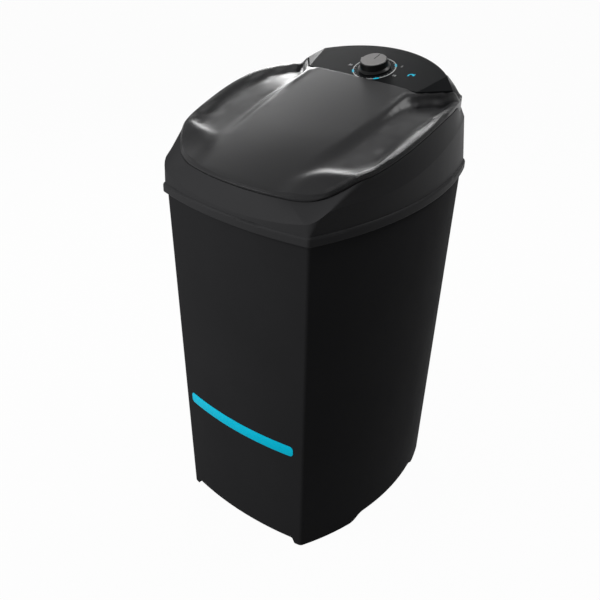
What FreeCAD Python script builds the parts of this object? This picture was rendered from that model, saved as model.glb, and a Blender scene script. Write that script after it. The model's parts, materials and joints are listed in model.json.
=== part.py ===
"""Semi-automatic washing machine with one tub, as separate pieces. Millimetres, +Z up, front at -Y."""
import math
import os

import FreeCAD
import Part

V = FreeCAD.Vector
X = V(1, 0, 0)
Y = V(0, 1, 0)
Z = V(0, 0, 1)

# Cabinet wall, feet and arches
cabinet_top = 766.0
cabinet_wall = 3.0
top_half_width = 232.8
top_half_depth = 278.0
top_side_r = 648.0
top_end_r = 777.0
base_half_width = 215.0
base_half_depth = 251.0
base_side_r = 548.0
base_end_r = 747.0
front_corner_r = 10.0
rear_corner_r = 28.0
foot_lift = 2.0
front_arch_half = 150.0
front_arch_ramp = 10.0
front_arch_rise = 16.0
side_arch_front = -112.0
side_arch_rear = 172.0
side_arch_ramp = 46.0
side_arch_rise = 19.0
sole_width = 52.0
sole_length = 108.0
sole_thick = 3.0
pad_r = 12.0
pad_stem_r = 4.0
pad_inset_x = 68.0
pad_inset_y = 56.0
pad_stem_over = 2.0
loose_fit = 0.3

# Collar with its bead, lip and deck
bead_drop = 16.0
bead_rise = 4.0
bead_over_side = 5.2
bead_over_end = 8.0
bead_side_r = 677.0
bead_end_r = 770.0
bead_top_round = 6.0
bead_low_round = 3.0
bead_seat = 2.5
collar_wall = 3.2
collar_foot_step = 4.0
crease_over_side = 2.0
crease_side_r = 600.0
crease_side_y = -20.0
crease_front_step = 6.0
crease_corner_r = 40.0
crease_front_rise = 6.0
crease_corner_lead = 12.0
crease_corner_run = 72.0
crease_corner_lift = 46.0
crease_side_start_y = -120.0
crease_side_run = 330.0
crease_side_lift = 42.0
seam_over_side = 3.0
seam_side_r = 540.0
seam_side_y = -25.0
seam_front_step = 22.0
seam_front_r = 460.0
seam_rear_step = 14.0
seam_rear_r = 788.0
seam_corner_r = 150.0
seam_front_rise = 51.0
seam_corner_start = 19.0
seam_corner_run = 85.0
seam_corner_lift = 33.0
seam_side_start = 34.0
seam_top_step = 186.0
seam_side_lift = 58.0
seam_drop_step = 136.0
seam_flat_step = 71.0
seam_rear_rise = 114.0
lip_width = 16.0
rear_lip_width = 36.0
lip_thick = 3.0
deck_rise = 24.0
deck_thick = 4.0
buffer_r = 5.0
buffer_high = 1.2
buffer_x = 60.0
buffer_inset = 1.0

# Lid
lid_gap = 1.5
lid_edge_step = 0.6
trim_step = 6.0
lid_grid = 12.0
lid_skin = 3.0
rim_high = 9.0
rim_rear_high = 24.0
rim_wide = 10.0
rim_fall = 4.5
rim_slope = 1.1
rim_clear = 35.0
rim_clear_step = 206.0
rim_clear_run = 70.0
rim_blend = 6.0
apron_slope = 0.47
apron_round = 25.0
plateau_front_step = 60.3
plateau_front_rise = 36.5
plateau_front_half = 99.7
plateau_rear_half = 135.3
plateau_slope = 0.25
plateau_crown = 2.5
scoop_depth = 10.0
scoop_ramp = 40.0
scoop_lead = 8.0
scoop_front_slant = 0.37
scoop_rim = 11.0
scoop_bank = 15.0
scoop_wall_front = 40.0
scoop_wall_rear = 15.0
scoop_wall_share = 0.85
panel_blend = 22.0
notch_gap = 2.5
ear_inner_x = 128.0
ear_rear_step = 37.0
hinge_rear_step = 40.0
hinge_rise = 10.0
hinge_x = 142.0
hinge_web_thick = 8.0
hinge_web_long = 22.0
hinge_knuckle_r = 6.0
hinge_pin_r = 3.0
hinge_cheek_thick = 6.0
hinge_side_gap = 2.0
hinge_base_thick = 2.5
hinge_foot_front = 6.0
hinge_foot_rear = 8.0
hinge_pin_proud = 1.0
running_fit = 0.05

# Control panel and console
panel_tilt = 15.0
panel_front_step = 163.1
panel_front_half = 135.2
panel_front_rise = 51.1
panel_end_step = 107.3
panel_ear_wide = 18.7063
panel_end_rise = 52.0
panel_back_step = 87.7
panel_back_x = 155.0
panel_apex_step = 31.0
panel_base_rise = 46.5
fold_lap = 1.0
panel_wall = 3.0
console_floor = 3.0
console_wall = 2.5
console_step = 1.5
panel_hole_gap = 2.0
knob_step = 118.0
knob_skirt_r = 34.0
knob_top_r = 28.0
knob_high = 20.0
knob_gap = 0.6
knob_skirt_high = 3.0
knob_shoulder_high = 6.5
knob_edge = 1.5
knob_bore_share = 0.6
knob_cap_r = 26.0
knob_cap_thick = 3.0
pointer_wide = 2.6
pointer_deep = 0.8
pointer_start = 4.0
timer_r = 27.0
timer_deep = 34.0
timer_shaft_r = 4.0
timer_bore_share = 0.7
timer_shaft_share = 0.6
timer_lug_long = 8.0
timer_lug_half = 7.0
timer_lug_thick = 3.0

# Tub, filter and drain
tub_y = -30.0
tub_half = 195.0
tub_side_r = 900.0
tub_corner_r = 110.0
tub_taper = 22.0
tub_wall = 2.5
tub_floor = 250.0
tub_floor_thick = 4.0
tub_floor_round = 14.0
tub_flange = 14.0
tub_flange_thick = 3.0
deck_opening_gap = 1.0
recess_r = 148.0
recess_floor = 240.0
rail_low = 500.0
rail_high = 655.0
rail_thick = 7.0
rail_lip = 6.0
rail_lip_thick = 3.0
filter_half = 64.0
filter_front_y = 135.5
filter_thick = 11.5
filter_high = 150.0
filter_border = 10.0
filter_bars = 12
drain_x = -119.0
drain_y = 89.0
drain_r = 15.0
drain_bore_r = 12.0
drain_drop = 24.0
grille_lap = 2.5
grille_thick = 2.5
grille_hole_r = 2.5
grille_ring_r = 8.0
grille_hole_count = 6
outlet_z = 150.0
outlet_boss_r = 17.0
outlet_proud = 1.0
outlet_boss_deep = 9.0
outlet_flange_r = 15.0
outlet_nozzle_r = 11.0
outlet_reach = 30.0
barb_rise = 1.5
barb_long = 5.0
barb_pitch = 7.0
gland_flange_r = 12.0
gland_body_r = 8.0
gland_bore_r = 4.2
neck_wall = 4.0
pipe_bend = 2.4 * drain_r
pipe_end_gap = 12.0
outlet_flange_thick = 3.0
outlet_barrel = 20.0
outlet_wall = 2.5
gland_flange_thick = 4.0
gland_barrel = 12.0
grip_half = 18.0
grip_reach = 8.0
grip_bite = 1.0
grip_low = 8.0
grip_high = 4.0
net_thick = 1.6
net_edge = 3.0
net_spine = 3.0
net_rung = 4.0

# Drive: agitator, bearing, pulleys and belt
agitator_r = 141.0
agitator_lift = 4.0
agitator_thick = 5.0
agitator_hub_r = 34.0
agitator_high = 48.0
vane_count = 4
vane_thick = 12.0
vane_bow_r = 110.0
hole_count = 24
hole_ring_r = 118.0
hole_r = 4.0
shaft_r = 8.0
shaft_top = 278.0
shaft_low = 78.0
bush_r = 12.0
bush_long = 24.0
seal_long = 10.0
housing_r = 24.0
housing_low = 126.0
housing_flange_r = 58.0
housing_flange_thick = 8.0
housing_rib_count = 6
pulley_mid = 106.0
pulley_wide = 20.0
pulley_r = 92.0
pulley_web = 6.0
pulley_hub_r = 18.0
pulley_hub_high = 125.5
pulley_hub_low = 92.0
pulley_hole_r = 20.0
pulley_hole_ring = 50.0
pulley_hole_count = 6
nut_r = 13.5
nut_high = 10.0
motor_reach = 140.0
motor_pulley_r = 24.0
belt_wide = 10.0
belt_thick = 8.0
belt_inner_wide = 6.0
belt_sink = 4.5
groove_gap = 0.6
seal_stand = 3.0
bush_drop = 0.5
housing_cone = 8.0
housing_rib_thick = 5.0
housing_rib_bite = 1.0
housing_rib_edge = 6.0
housing_rib_drop = 58.0
agitator_edge_in = 8.0
agitator_edge_rise = 4.0
dish_wide = 30.0
dish_rise = 12.0
hub_foot_rise = 26.0
hub_taper = 6.0
vane_foot = 2.0
vane_edge = 6.0
vane_tip_rise = 14.0
vane_shoulder = 30.0
vane_shoulder_rise = 34.0
vane_drop = 4.0
hole_deep = 20.0
cavity_edge = 20.0
cavity_deep = 3.0
seal_room_gap = 5.0
seal_room_deep = 4.0
cap_lean = 2.0
cap_side_high = 5.0
cap_crown_in = 10.0
cap_crown_rise = 9.0
cap_high = 10.0
groove_flare = 0.5
groove_pinch = 0.2
groove_lead = 1.0
pulley_rim = 20.0
pulley_web_edge = 15.0

# Motor, bracket and wiring
bracket_half = 88.0
bracket_plate = 126.0
bracket_thick = 3.0
bracket_front = 10.0
bracket_rear = 182.0
bracket_wall_rear = 135.0
bracket_flange = 14.0
bracket_shaft_hole_r = 30.0
bracket_boss_r = 10.0
bracket_bolt_y = 120.0
grommet_r = 9.0
grommet_bore_r = 4.0
grommet_high = 6.0
motor_r = 62.0
motor_can_wall = 2.0
motor_cap_high = 12.0
motor_can_high = 58.0
motor_ear_ring = 68.0
motor_shaft_r = 6.0
motor_shaft_low = 90.0
rotor_r = 36.0
rotor_high = 48.0
air_gap = 0.6
capacitor_r = 20.0
capacitor_low = 140.0
capacitor_high = 75.0
capacitor_y = 72.0
clip_thick = 2.0
clip_high = 20.0
loom_r = 4.0
loom_y = 215.0
loom_bend = 12.0
motor_ear_edge = 2.0
motor_cap_wall = 6.0
motor_cap_floor = 5.0
motor_cap_roof = 4.0
motor_bore_roof = 3.0
motor_boss_wall = 8.0
motor_slot_count = 8
motor_slot_in = 24.0
motor_slot_out = 50.0
motor_slot_wide = 6.0
motor_slot_deep = 5.0
stator_gap = 4.0
coil_edge = 10.0
coil_step = 3.0
coil_gap = 1.0
coil_long = 6.0
capacitor_gap = 1.0
tab_half = 4.0
tab_place = 10.0
tab_thick = 1.2
tab_long = 7.0
tab_root = 1.0
clip_bite = 3.0
clip_tab_half = 16.0
loom_end_rise = 8.0

# Outside trim
strip_half = 146.0
strip_low = 252.0
strip_high = 277.0
strip_thick = 0.8
strip_round = 8.0
film_gap = 0.2
cover_half = 95.0
cover_low = 72.0
cover_high = 330.0
cover_thick = 2.4
cover_lap = 12.0
cover_round = 12.0
louvre_count = 7
louvre_half = 60.0
louvre_high = 6.0
louvre_pitch = 16.0
louvre_low = 190.0
reach = 700.0

# Places that follow from the sizes above
bead_low = cabinet_top - bead_drop
bead_high = cabinet_top + bead_rise
bead_half_width = top_half_width + bead_over_side
bead_half_depth = top_half_depth + bead_over_end
crease_half_width = bead_half_width + crease_over_side
crease_front_y = crease_front_step - bead_half_depth
crease_front_z = cabinet_top + crease_front_rise
seam_half_width = bead_half_width + seam_over_side
seam_front_y = seam_front_step - bead_half_depth
seam_rear_y = bead_half_depth - seam_rear_step
seam_front_z = cabinet_top + seam_front_rise
seam_rear_z = cabinet_top + seam_rear_rise
deck_top = cabinet_top + deck_rise
deck_under = deck_top - deck_thick
plateau_front_y = seam_front_y + plateau_front_step
plateau_front_z = seam_front_z + plateau_front_rise
seam_top_y = bead_half_depth - seam_top_step
seam_drop_y = bead_half_depth - seam_drop_step
seam_flat_y = bead_half_depth - seam_flat_step
rim_clear_y = bead_half_depth - rim_clear_step
ear_rear_y = bead_half_depth - ear_rear_step
hinge_y = bead_half_depth - hinge_rear_step
hinge_z = seam_rear_z + hinge_rise
panel_front_y = bead_half_depth - panel_front_step
panel_front_z = seam_rear_z + panel_front_rise
panel_end_y = bead_half_depth - panel_end_step
seam_side_sweep = math.sqrt(seam_side_r**2 - (panel_end_y - seam_side_y)**2)
panel_end_x = seam_half_width - seam_side_r + seam_side_sweep - panel_ear_wide
panel_end_z = seam_rear_z + panel_end_rise
panel_back_y = bead_half_depth - panel_back_step
panel_apex_y = bead_half_depth - panel_apex_step
panel_base = seam_rear_z + panel_base_rise
knob_y = bead_half_depth - knob_step


def clamp(value):
    return min(max(value, 0.0), 1.0)


def ease(value):
    """Smooth step from 0 to 1."""
    t = clamp(value)
    return t * t * (3.0 - 2.0 * t)


def unit(vector):
    return vector * (1.0 / vector.Length)


def mirrored(point):
    return V(-point.x, point.y, point.z)


def box(x0, x1, y0, y1, z0, z1):
    return Part.makeBox(x1 - x0, y1 - y0, z1 - z0, V(x0, y0, z0))


def rod(radius, start, end):
    return Part.makeCylinder(radius, (end - start).Length, start, end - start)


def pipe(outer, inner, start, end):
    return rod(outer, start, end).cut(rod(inner, start, end))


def prism(points, direction):
    """Solid pushed out of the closed polygon through the points."""
    return Part.Face(Part.makePolygon(points + points[:1])).extrude(direction)


def both_sides(shape):
    return Part.makeCompound([shape, shape.mirror(V(), X)])


def fused(first, *others):
    return first.fuse(list(others)).removeSplitter()


def revolved(profile, x, y):
    """Solid turned from radius and height pairs about an upright axis."""
    points = [V(x + r, y, z) for r, z in profile]
    return Part.Face(Part.makePolygon(points + points[:1])).revolve(V(x, y, 0), Z, 360)


class Plan:
    """Outline seen from above: four bulged sides joined by corner arcs."""

    def __init__(self, half_width, side_r, front_y, front_r, rear_y, rear_r,
                 front_corner, rear_corner, side_y=0.0):
        self.half_width = half_width
        self.side_r = side_r
        self.front_y = front_y
        self.front_r = front_r
        self.rear_y = rear_y
        self.rear_r = rear_r
        self.front_corner = front_corner
        self.rear_corner = rear_corner
        self.side_y = side_y

    def inset(self, step):
        return Plan(
            self.half_width - step,
            self.side_r - step,
            self.front_y + step,
            self.front_r - step,
            self.rear_y - step,
            self.rear_r - step,
            max(self.front_corner - step, 1.0),
            max(self.rear_corner - step, 1.0),
            self.side_y,
        )

    def corner(self, end_y, end_r, radius):
        """Start, middle and end of the right-hand corner arc, from the end arc to the side arc."""
        side_centre = V(self.half_width - self.side_r, self.side_y, 0)
        end_centre = V(0, end_y, 0)
        side_reach = self.side_r - radius
        end_reach = end_r - radius
        apart = (end_centre - side_centre).Length
        line = unit(end_centre - side_centre)
        along = (side_reach**2 - end_reach**2 + apart**2) / (2 * apart)
        across = math.sqrt(side_reach**2 - along**2)
        foot = side_centre + line * along
        normal = V(-line.y, line.x, 0)
        centre = max(foot + normal * across, foot - normal * across, key=lambda p: p.x)
        on_end = centre + unit(centre - end_centre) * radius
        on_side = centre + unit(centre - side_centre) * radius
        middle = centre + unit(on_end + on_side - centre * 2) * radius
        return on_end, middle, on_side

    def arcs(self):
        front_centre = self.front_y + self.front_r
        front, front_mid, side_front = self.corner(front_centre, self.front_r, self.front_corner)
        rear, rear_mid, side_rear = self.corner(self.rear_y - self.rear_r, self.rear_r, self.rear_corner)
        half = [
            (front, front_mid, side_front),
            (side_front, V(self.half_width, self.side_y, 0), side_rear),
            (side_rear, rear_mid, rear),
        ]
        left = [(mirrored(c), mirrored(b), mirrored(a)) for a, b, c in reversed(half)]
        front_arc = (mirrored(front), V(0, self.front_y, 0), front)
        rear_arc = (rear, V(0, self.rear_y, 0), mirrored(rear))
        return [front_arc] + half + [rear_arc] + left

    def edges(self, height=0.0):
        lift = V(0, 0, height)
        return [Part.Arc(a + lift, b + lift, c + lift).toShape() for a, b, c in self.arcs()]

    def wire(self, height):
        return Part.Wire(self.edges(height))

    def lifted(self, height_at, points=13):
        """The outline's edges carried up to the height given at each point."""
        curves = []
        for edge in self.edges():
            curve = Part.BSplineCurve()
            curve.interpolate([V(p.x, p.y, height_at(p)) for p in edge.discretize(points)])
            curves.append(curve.toShape())
        return curves

    def solid(self, low, high):
        return Part.Face(self.wire(low)).extrude(V(0, 0, high - low))

    def depth_in(self, x, y):
        """How far a point lies inside the front arc, the side arcs and the corner arcs between them."""
        point = V(abs(x), y, 0)
        side_centre = V(self.half_width - self.side_r, self.side_y, 0)
        front_centre = V(0, self.front_y + self.front_r, 0)
        on_front, _, on_side = self.corner(front_centre.y, self.front_r, self.front_corner)
        centre = on_side + unit(side_centre - on_side) * self.front_corner
        past_front = (on_front - centre).cross(point - centre).z
        past_side = (on_side - centre).cross(point - centre).z
        if past_front > 0 > past_side:
            return self.front_corner - (point - centre).Length
        return min(self.side_r - (point - side_centre).Length, self.front_depth(x, y))

    def front_depth(self, x, y):
        """How far a point lies inside the front arc alone."""
        return self.front_r - math.hypot(x, y - self.front_y - self.front_r)


def rounded_least(a, b, blend):
    mix = clamp(0.5 + 0.5 * (b - a) / blend)
    return b + (a - b) * mix - blend * mix * (1.0 - mix)


def tapered(low_plan, low, high_plan, high):
    return Part.makeLoft([low_plan.wire(low), high_plan.wire(high)], True, True)


def ring_solid(curves):
    """Hollow ring whose skin is ruled from each closed curve to the next and back to the first."""
    faces = []
    for lower, upper in zip(curves, curves[1:] + curves[:1]):
        faces += [Part.makeRuledSurface(a, b) for a, b in zip(lower, upper)]
    shell = Part.makeShell(faces)
    shell.sewShape()
    solid = Part.makeSolid(shell)
    if solid.Volume < 0:
        solid.reverse()
    return solid


def cabinet_plan_pair(step=0.0):
    base = Plan(base_half_width, base_side_r, -base_half_depth, base_end_r, base_half_depth, base_end_r,
                front_corner_r, rear_corner_r)
    top = Plan(top_half_width, top_side_r, -top_half_depth, top_end_r, top_half_depth, top_end_r,
               front_corner_r, rear_corner_r)
    return base.inset(step), top.inset(step)


def cabinet_solid(step=0.0):
    """The whole cabinet form, drawn in by the step."""
    base, top = cabinet_plan_pair(step)
    return tapered(base, foot_lift, top, cabinet_top)


def rear_wall(x, z):
    """Where the outside of the cabinet's rear wall stands."""
    def on_arc(half_depth, radius):
        return half_depth - radius + math.sqrt(radius**2 - x**2)

    low = on_arc(base_half_depth, base_end_r)
    high = on_arc(top_half_depth, top_end_r)
    return low + (high - low) * (z - foot_lift) / (cabinet_top - foot_lift)


outlet_face_y = rear_wall(abs(drain_x) - outlet_flange_r, outlet_z + outlet_flange_r) + outlet_proud
tub_plan = Plan(tub_half, tub_side_r, tub_y - tub_half, tub_side_r, tub_y + tub_half, tub_side_r,
                tub_corner_r, tub_corner_r, tub_y)
tub_base_plan = tub_plan.inset(tub_taper)
bead_plan = Plan(bead_half_width, bead_side_r, -bead_half_depth, bead_end_r, bead_half_depth, bead_end_r,
                 front_corner_r, rear_corner_r)
collar_plan = bead_plan.inset(collar_foot_step)
crease_plan = Plan(crease_half_width, crease_side_r, crease_front_y, bead_end_r, collar_plan.rear_y,
                   bead_end_r, crease_corner_r, rear_corner_r, crease_side_y)
seam_plan = Plan(seam_half_width, seam_side_r, seam_front_y, seam_front_r, seam_rear_y, seam_rear_r,
                 seam_corner_r, rear_corner_r, seam_side_y)
lid_plan = seam_plan.inset(lid_edge_step)
lip_plan = seam_plan.inset(lip_width)
lip_plan.rear_y = seam_rear_y - rear_lip_width
deck_plan = Plan(collar_plan.half_width - collar_wall, bead_side_r, seam_front_y + collar_wall, seam_front_r,
                 collar_plan.rear_y - collar_wall, bead_end_r, seam_corner_r, rear_corner_r)


def seam_height(y):
    """Line between collar and lid: lifted at the front corners, rising on the sides, level behind."""
    corner = seam_corner_lift * ease((y - seam_front_y - seam_corner_start) / seam_corner_run)
    side_start = seam_front_y + seam_side_start
    side = seam_side_lift * ease((y - side_start) / (seam_top_y - side_start))
    drop = seam_front_z + seam_corner_lift + seam_side_lift - seam_rear_z
    return seam_front_z + corner + side - drop * rear_share(y)


def rear_share(y):
    """Runs from 0 where the sides end to 1 where the rear edge is level."""
    return ease((y - seam_drop_y) / (seam_flat_y - seam_drop_y))


def crease_height(y):
    """Fold line of the collar: from the bead in front, up round the corners and again along the sides."""
    corner = crease_corner_lift * ease((y - crease_front_y + crease_corner_lead) / crease_corner_run)
    side = crease_side_lift * ease((y - crease_side_start_y) / crease_side_run)
    return crease_front_z + corner + side


panel_slope = math.tan(math.radians(panel_tilt))
knob_z = panel_front_z + panel_slope * (knob_y - panel_front_y)
motor_y = tub_y + motor_reach
motor_low = bracket_plate + bracket_thick + grommet_high
can_low = motor_low + motor_cap_high
can_high = can_low + motor_can_high
recess_under = recess_floor - tub_floor_thick


def arch_cut(start, end, ramp, rise, along, across):
    """Cutter with soft shoulders that lifts the bottom edge of two opposite walls."""

    def at(s, z):
        return along * s + Z * z - across * reach

    def shoulder(s0, z0, s1, z1):
        middle = (s0 + s1) / 2
        curve = Part.BezierCurve()
        curve.setPoles([at(s0, z0), at(middle, z0), at(middle, z1), at(s1, z1)])
        return curve.toShape()

    under = -foot_lift
    edges = [
        shoulder(start, foot_lift, start + ramp, rise),
        Part.makeLine(at(start + ramp, rise), at(end - ramp, rise)),
        shoulder(end - ramp, rise, end, foot_lift),
        Part.makeLine(at(end, foot_lift), at(end, under)),
        Part.makeLine(at(end, under), at(start, under)),
        Part.makeLine(at(start, under), at(start, foot_lift)),
    ]
    return Part.Face(Part.Wire(edges)).extrude(across * (2 * reach))


def rounded_window(half, low, high, radius, y0, y1):
    """Block through the front or rear wall with rounded corners."""
    block = box(-half, half, y0, y1, low, high)
    upright = [e for e in block.Edges if abs(e.Vertexes[0].Y - e.Vertexes[1].Y) > radius]
    return block.makeFillet(radius, upright)


def foot_points():
    x = base_half_width - pad_inset_x
    y = base_half_depth - pad_inset_y
    return [V(sx * x, sy * y, 0) for sx in (-1, 1) for sy in (-1, 1)]


def make_cabinet_shell():
    inner = cabinet_solid(cabinet_wall)
    shell = cabinet_solid().cut(inner)
    soles = []
    for point in foot_points():
        sx = math.copysign(1, point.x)
        sy = math.copysign(1, point.y)
        x0, x1 = sorted((point.x - sx * sole_width / 2, sx * reach))
        y0, y1 = sorted((point.y - sy * sole_length / 2, sy * reach))
        soles.append(box(x0, x1, y0, y1, foot_lift, foot_lift + sole_thick).common(inner))
    boss_y = outlet_face_y - outlet_boss_deep
    bosses = [rod(outlet_boss_r, V(x, boss_y, outlet_z), V(x, outlet_face_y, outlet_z))
              for x in (drain_x, -drain_x)]
    shell = shell.fuse(soles + bosses)
    cutters = [
        arch_cut(-front_arch_half, front_arch_half, front_arch_ramp, front_arch_rise, X, Y),
        arch_cut(side_arch_front, side_arch_rear, side_arch_ramp, side_arch_rise, Y, X),
        rounded_window(cover_half - cover_lap, cover_low + cover_lap, cover_high - cover_lap,
                       cover_round, 0, reach),
        rod(drain_bore_r, V(drain_x, 0, outlet_z), V(drain_x, reach, outlet_z)),
        rod(gland_body_r + loose_fit, V(-drain_x, 0, outlet_z), V(-drain_x, reach, outlet_z)),
    ]
    cutters += [rod(pad_stem_r + loose_fit, p, p + Z * (foot_lift + 2 * sole_thick)) for p in foot_points()]
    return shell.cut(cutters)


def make_foot_pads():
    pads = []
    for point in foot_points():
        pad = rod(pad_r, point, point + Z * foot_lift)
        stem = rod(pad_stem_r, point, point + Z * (foot_lift + sole_thick + pad_stem_over))
        pads.append(fused(pad, stem))
    return Part.makeCompound(pads)


def make_top_collar():
    def seam_at(p):
        return seam_height(p.y)

    def seam_under(p):
        return seam_height(p.y) - lip_thick

    def crease_at(p):
        return crease_height(p.y)

    def level(height):
        return lambda p: height

    opening = tub_plan.inset(-deck_opening_gap)
    skin_low = (cabinet_top + bead_high) / 2
    skin = ring_solid([
        collar_plan.lifted(level(skin_low)),
        crease_plan.lifted(crease_at),
        seam_plan.lifted(seam_at),
        lip_plan.lifted(seam_at),
        lip_plan.lifted(seam_under),
        seam_plan.inset(collar_wall).lifted(seam_under),
        deck_plan.lifted(level(deck_top)),
        opening.lifted(level(deck_top)),
        opening.lifted(level(deck_under)),
        deck_plan.lifted(level(deck_under)),
        collar_plan.inset(collar_wall).lifted(level(skin_low)),
    ])
    roll = bead_plan.solid(bead_low, bead_high)
    for height, radius in ((bead_high, bead_top_round), (bead_low, bead_low_round)):
        level_edges = [e for e in roll.Edges if abs(e.BoundBox.ZMin - height) + e.BoundBox.ZLength < 0.1]
        roll = roll.makeFillet(radius, level_edges)
    socket = cabinet_solid(-loose_fit)
    seat = collar_plan.inset(bead_seat)
    roll = roll.cut([socket, seat.solid(bead_low, bead_high + 1)])
    collar = fused(skin, roll)
    loom_hole = rod(loom_r + loose_fit, V(0, loom_y, deck_under - 1), V(0, loom_y, deck_top + 1))
    return collar.cut(loom_hole)


def make_lid_buffers():
    ring = seam_plan.front_r - buffer_r - buffer_inset
    y = seam_plan.front_y + seam_plan.front_r - math.sqrt(ring**2 - buffer_x**2)
    low = V(buffer_x, y, seam_front_z + film_gap)
    return both_sides(rod(buffer_r, low, low + Z * buffer_high))


def plateau_half(y):
    rise = (plateau_rear_half - plateau_front_half) / (panel_front_y - plateau_front_y)
    return plateau_front_half + rise * (y - plateau_front_y)


def end_distance(x, y):
    """Distance in plan from the oblique end of the control panel."""
    start = V(panel_front_half, panel_front_y, 0)
    end = V(panel_end_x, panel_end_y, 0)
    point = V(abs(x), y, 0)
    line = end - start
    share = clamp((point - start).dot(line) / line.dot(line))
    return (point - start - line * share).Length


def rim_height(y):
    return seam_height(y) + rim_high + (rim_rear_high - rim_high) * rear_share(y)


def lid_height(x, y, skin):
    """Top of the lid, or its underside where the skin has a thickness."""
    inside = lid_plan.depth_in(x, y)
    rim = rim_height(y)
    half = plateau_half(y)
    plateau = plateau_front_z + plateau_slope * (y - plateau_front_y) - plateau_crown * (x / half) ** 2
    apron = seam_front_z + rim_high + apron_slope * lid_plan.front_depth(x, y)
    middle = rounded_least(rounded_least(plateau, apron, apron_round), rim + inside, rim_blend)
    scoop_line = plateau_front_y + scoop_front_slant * (abs(x) - plateau_front_half)
    along = ease((y - scoop_line + scoop_lead) / scoop_ramp)
    scoop = rim - scoop_depth * (1.0 - rear_share(y)) * ease((inside - scoop_rim) / scoop_bank)
    ahead = -rounded_least(-rim, -apron, rim_blend)
    flank = ahead + (scoop - ahead) * along
    back = clamp((y - plateau_front_y) / (panel_front_y - plateau_front_y))
    wall = scoop_wall_front + (scoop_wall_rear - scoop_wall_front) * back
    height = flank + (middle - flank) * ease(scoop_wall_share + (half - abs(x)) / wall)
    near_panel = ease((panel_blend - end_distance(x, y)) / (panel_blend - notch_gap))
    on_lid = ease(0.5 + (inside - skin) / rim_wide)
    return height + (panel_end_z - lid_skin - height) * near_panel * on_lid - skin


def lid_form(skin):
    """Solid under the lid's sculpted surface, inside the lid's outline."""
    wide = round(2 * seam_half_width / lid_grid) + 4
    long = round((seam_rear_y - seam_front_y) / lid_grid) + 4
    rows = []
    for i in range(wide):
        x = (i - (wide - 1) / 2) * lid_grid
        row = []
        for j in range(long):
            y = seam_front_y + (j - 2) * lid_grid
            row.append(V(x, y, lid_height(x, y, skin)))
        rows.append(row)
    surface = Part.BSplineSurface()
    surface.interpolate(rows)
    under = surface.toShape().extrude(Z * -reach)
    return under.common(lid_plan.inset(skin).solid(deck_top, panel_front_z + reach))


def rim_bevel():
    """Ring that takes the upper edge of the lid's rim off on a slope, rising clear of the lid behind."""
    def slope_at(step):
        def height(p):
            clear = rim_clear * ease((p.y - rim_clear_y) / rim_clear_run)
            return rim_height(p.y) - rim_fall + rim_slope * step + clear
        return lid_plan.inset(step).lifted(height)

    def top_at(step):
        return lid_plan.inset(step).lifted(lambda p: panel_front_z + reach)

    return ring_solid([slope_at(-trim_step), slope_at(rim_wide), top_at(rim_wide), top_at(-trim_step)])


def panel_wire(step, height):
    """Outline of the control panel, grown by the step."""
    lift = V(0, 0, height)
    front = V(panel_front_half, panel_front_y, 0) + lift
    end = V(panel_end_x, panel_end_y, 0) + lift
    back = V(panel_back_x, panel_back_y, 0) + lift
    edges = [
        Part.makeLine(mirrored(front), front),
        Part.makeLine(front, end),
        Part.makeLine(end, back),
        Part.Arc(back, V(0, panel_apex_y, height), mirrored(back)).toShape(),
        Part.makeLine(mirrored(back), mirrored(end)),
        Part.makeLine(mirrored(end), mirrored(front)),
    ]
    wire = Part.Wire(edges)
    if step:
        wire = wire.makeOffset2D(step, 2)
    return wire


def panel_prism(step, low, high):
    return Part.Face(panel_wire(step, low)).extrude(Z * (high - low))


def lip_clearance():
    """Room over the collar's lip that the lid's lower edge keeps clear of."""
    def over(p):
        return seam_height(p.y) + lid_gap

    def under(p):
        return deck_under

    return ring_solid([
        seam_plan.lifted(over),
        lip_plan.lifted(over),
        lip_plan.lifted(under),
        seam_plan.lifted(under),
    ])


def hinge_axis(x0, x1, radius):
    return rod(radius, V(x0, hinge_y, hinge_z), V(x1, hinge_y, hinge_z))


def make_lid_cover():
    outer = lid_form(0.0).cut(rim_bevel())
    shell = outer.cut(lid_form(lid_skin))
    half = hinge_web_thick / 2
    web_front = hinge_y - hinge_web_long
    web_low = hinge_z - hinge_knuckle_r
    web = box(hinge_x - half, hinge_x + half, web_front, hinge_y, web_low, hinge_z + reach).common(outer)
    web = web.fuse(hinge_axis(hinge_x - half, hinge_x + half, hinge_knuckle_r))
    notch = panel_prism(notch_gap, deck_top, panel_front_z + reach)
    gap_behind = box(-ear_inner_x, ear_inner_x, panel_end_y, reach, deck_top, panel_front_z + reach)
    behind_ears = box(-reach, reach, ear_rear_y, reach, deck_top, panel_front_z + reach)
    shell = shell.cut([lip_clearance(), notch, gap_behind, behind_ears])
    shell = shell.fuse([web, web.mirror(V(), X)])
    bore = hinge_axis(-hinge_x - hinge_web_thick, hinge_x + hinge_web_thick, hinge_pin_r + running_fit)
    return shell.cut(bore).removeSplitter()


def make_hinge_brackets():
    inner = hinge_web_thick / 2 + hinge_side_gap
    outer = inner + hinge_cheek_thick
    y0 = hinge_y - hinge_foot_front
    y1 = hinge_y + hinge_foot_rear
    base = box(hinge_x - outer, hinge_x + outer, y0, y1, seam_rear_z, seam_rear_z + hinge_base_thick)
    cheeks = []
    for x0 in (hinge_x - outer, hinge_x + inner):
        x1 = x0 + hinge_cheek_thick
        cheek = box(x0, x1, y0, hinge_y + hinge_knuckle_r, seam_rear_z, hinge_z)
        cheeks.append(cheek.fuse(hinge_axis(x0, x1, hinge_knuckle_r)))
    bracket = fused(base, *cheeks).cut(hinge_axis(0, reach, hinge_pin_r + running_fit))
    return both_sides(bracket)


def make_hinge_pins():
    end = hinge_web_thick / 2 + hinge_side_gap + hinge_cheek_thick + hinge_pin_proud
    return both_sides(hinge_axis(hinge_x - end, hinge_x + end, hinge_pin_r))


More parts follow.
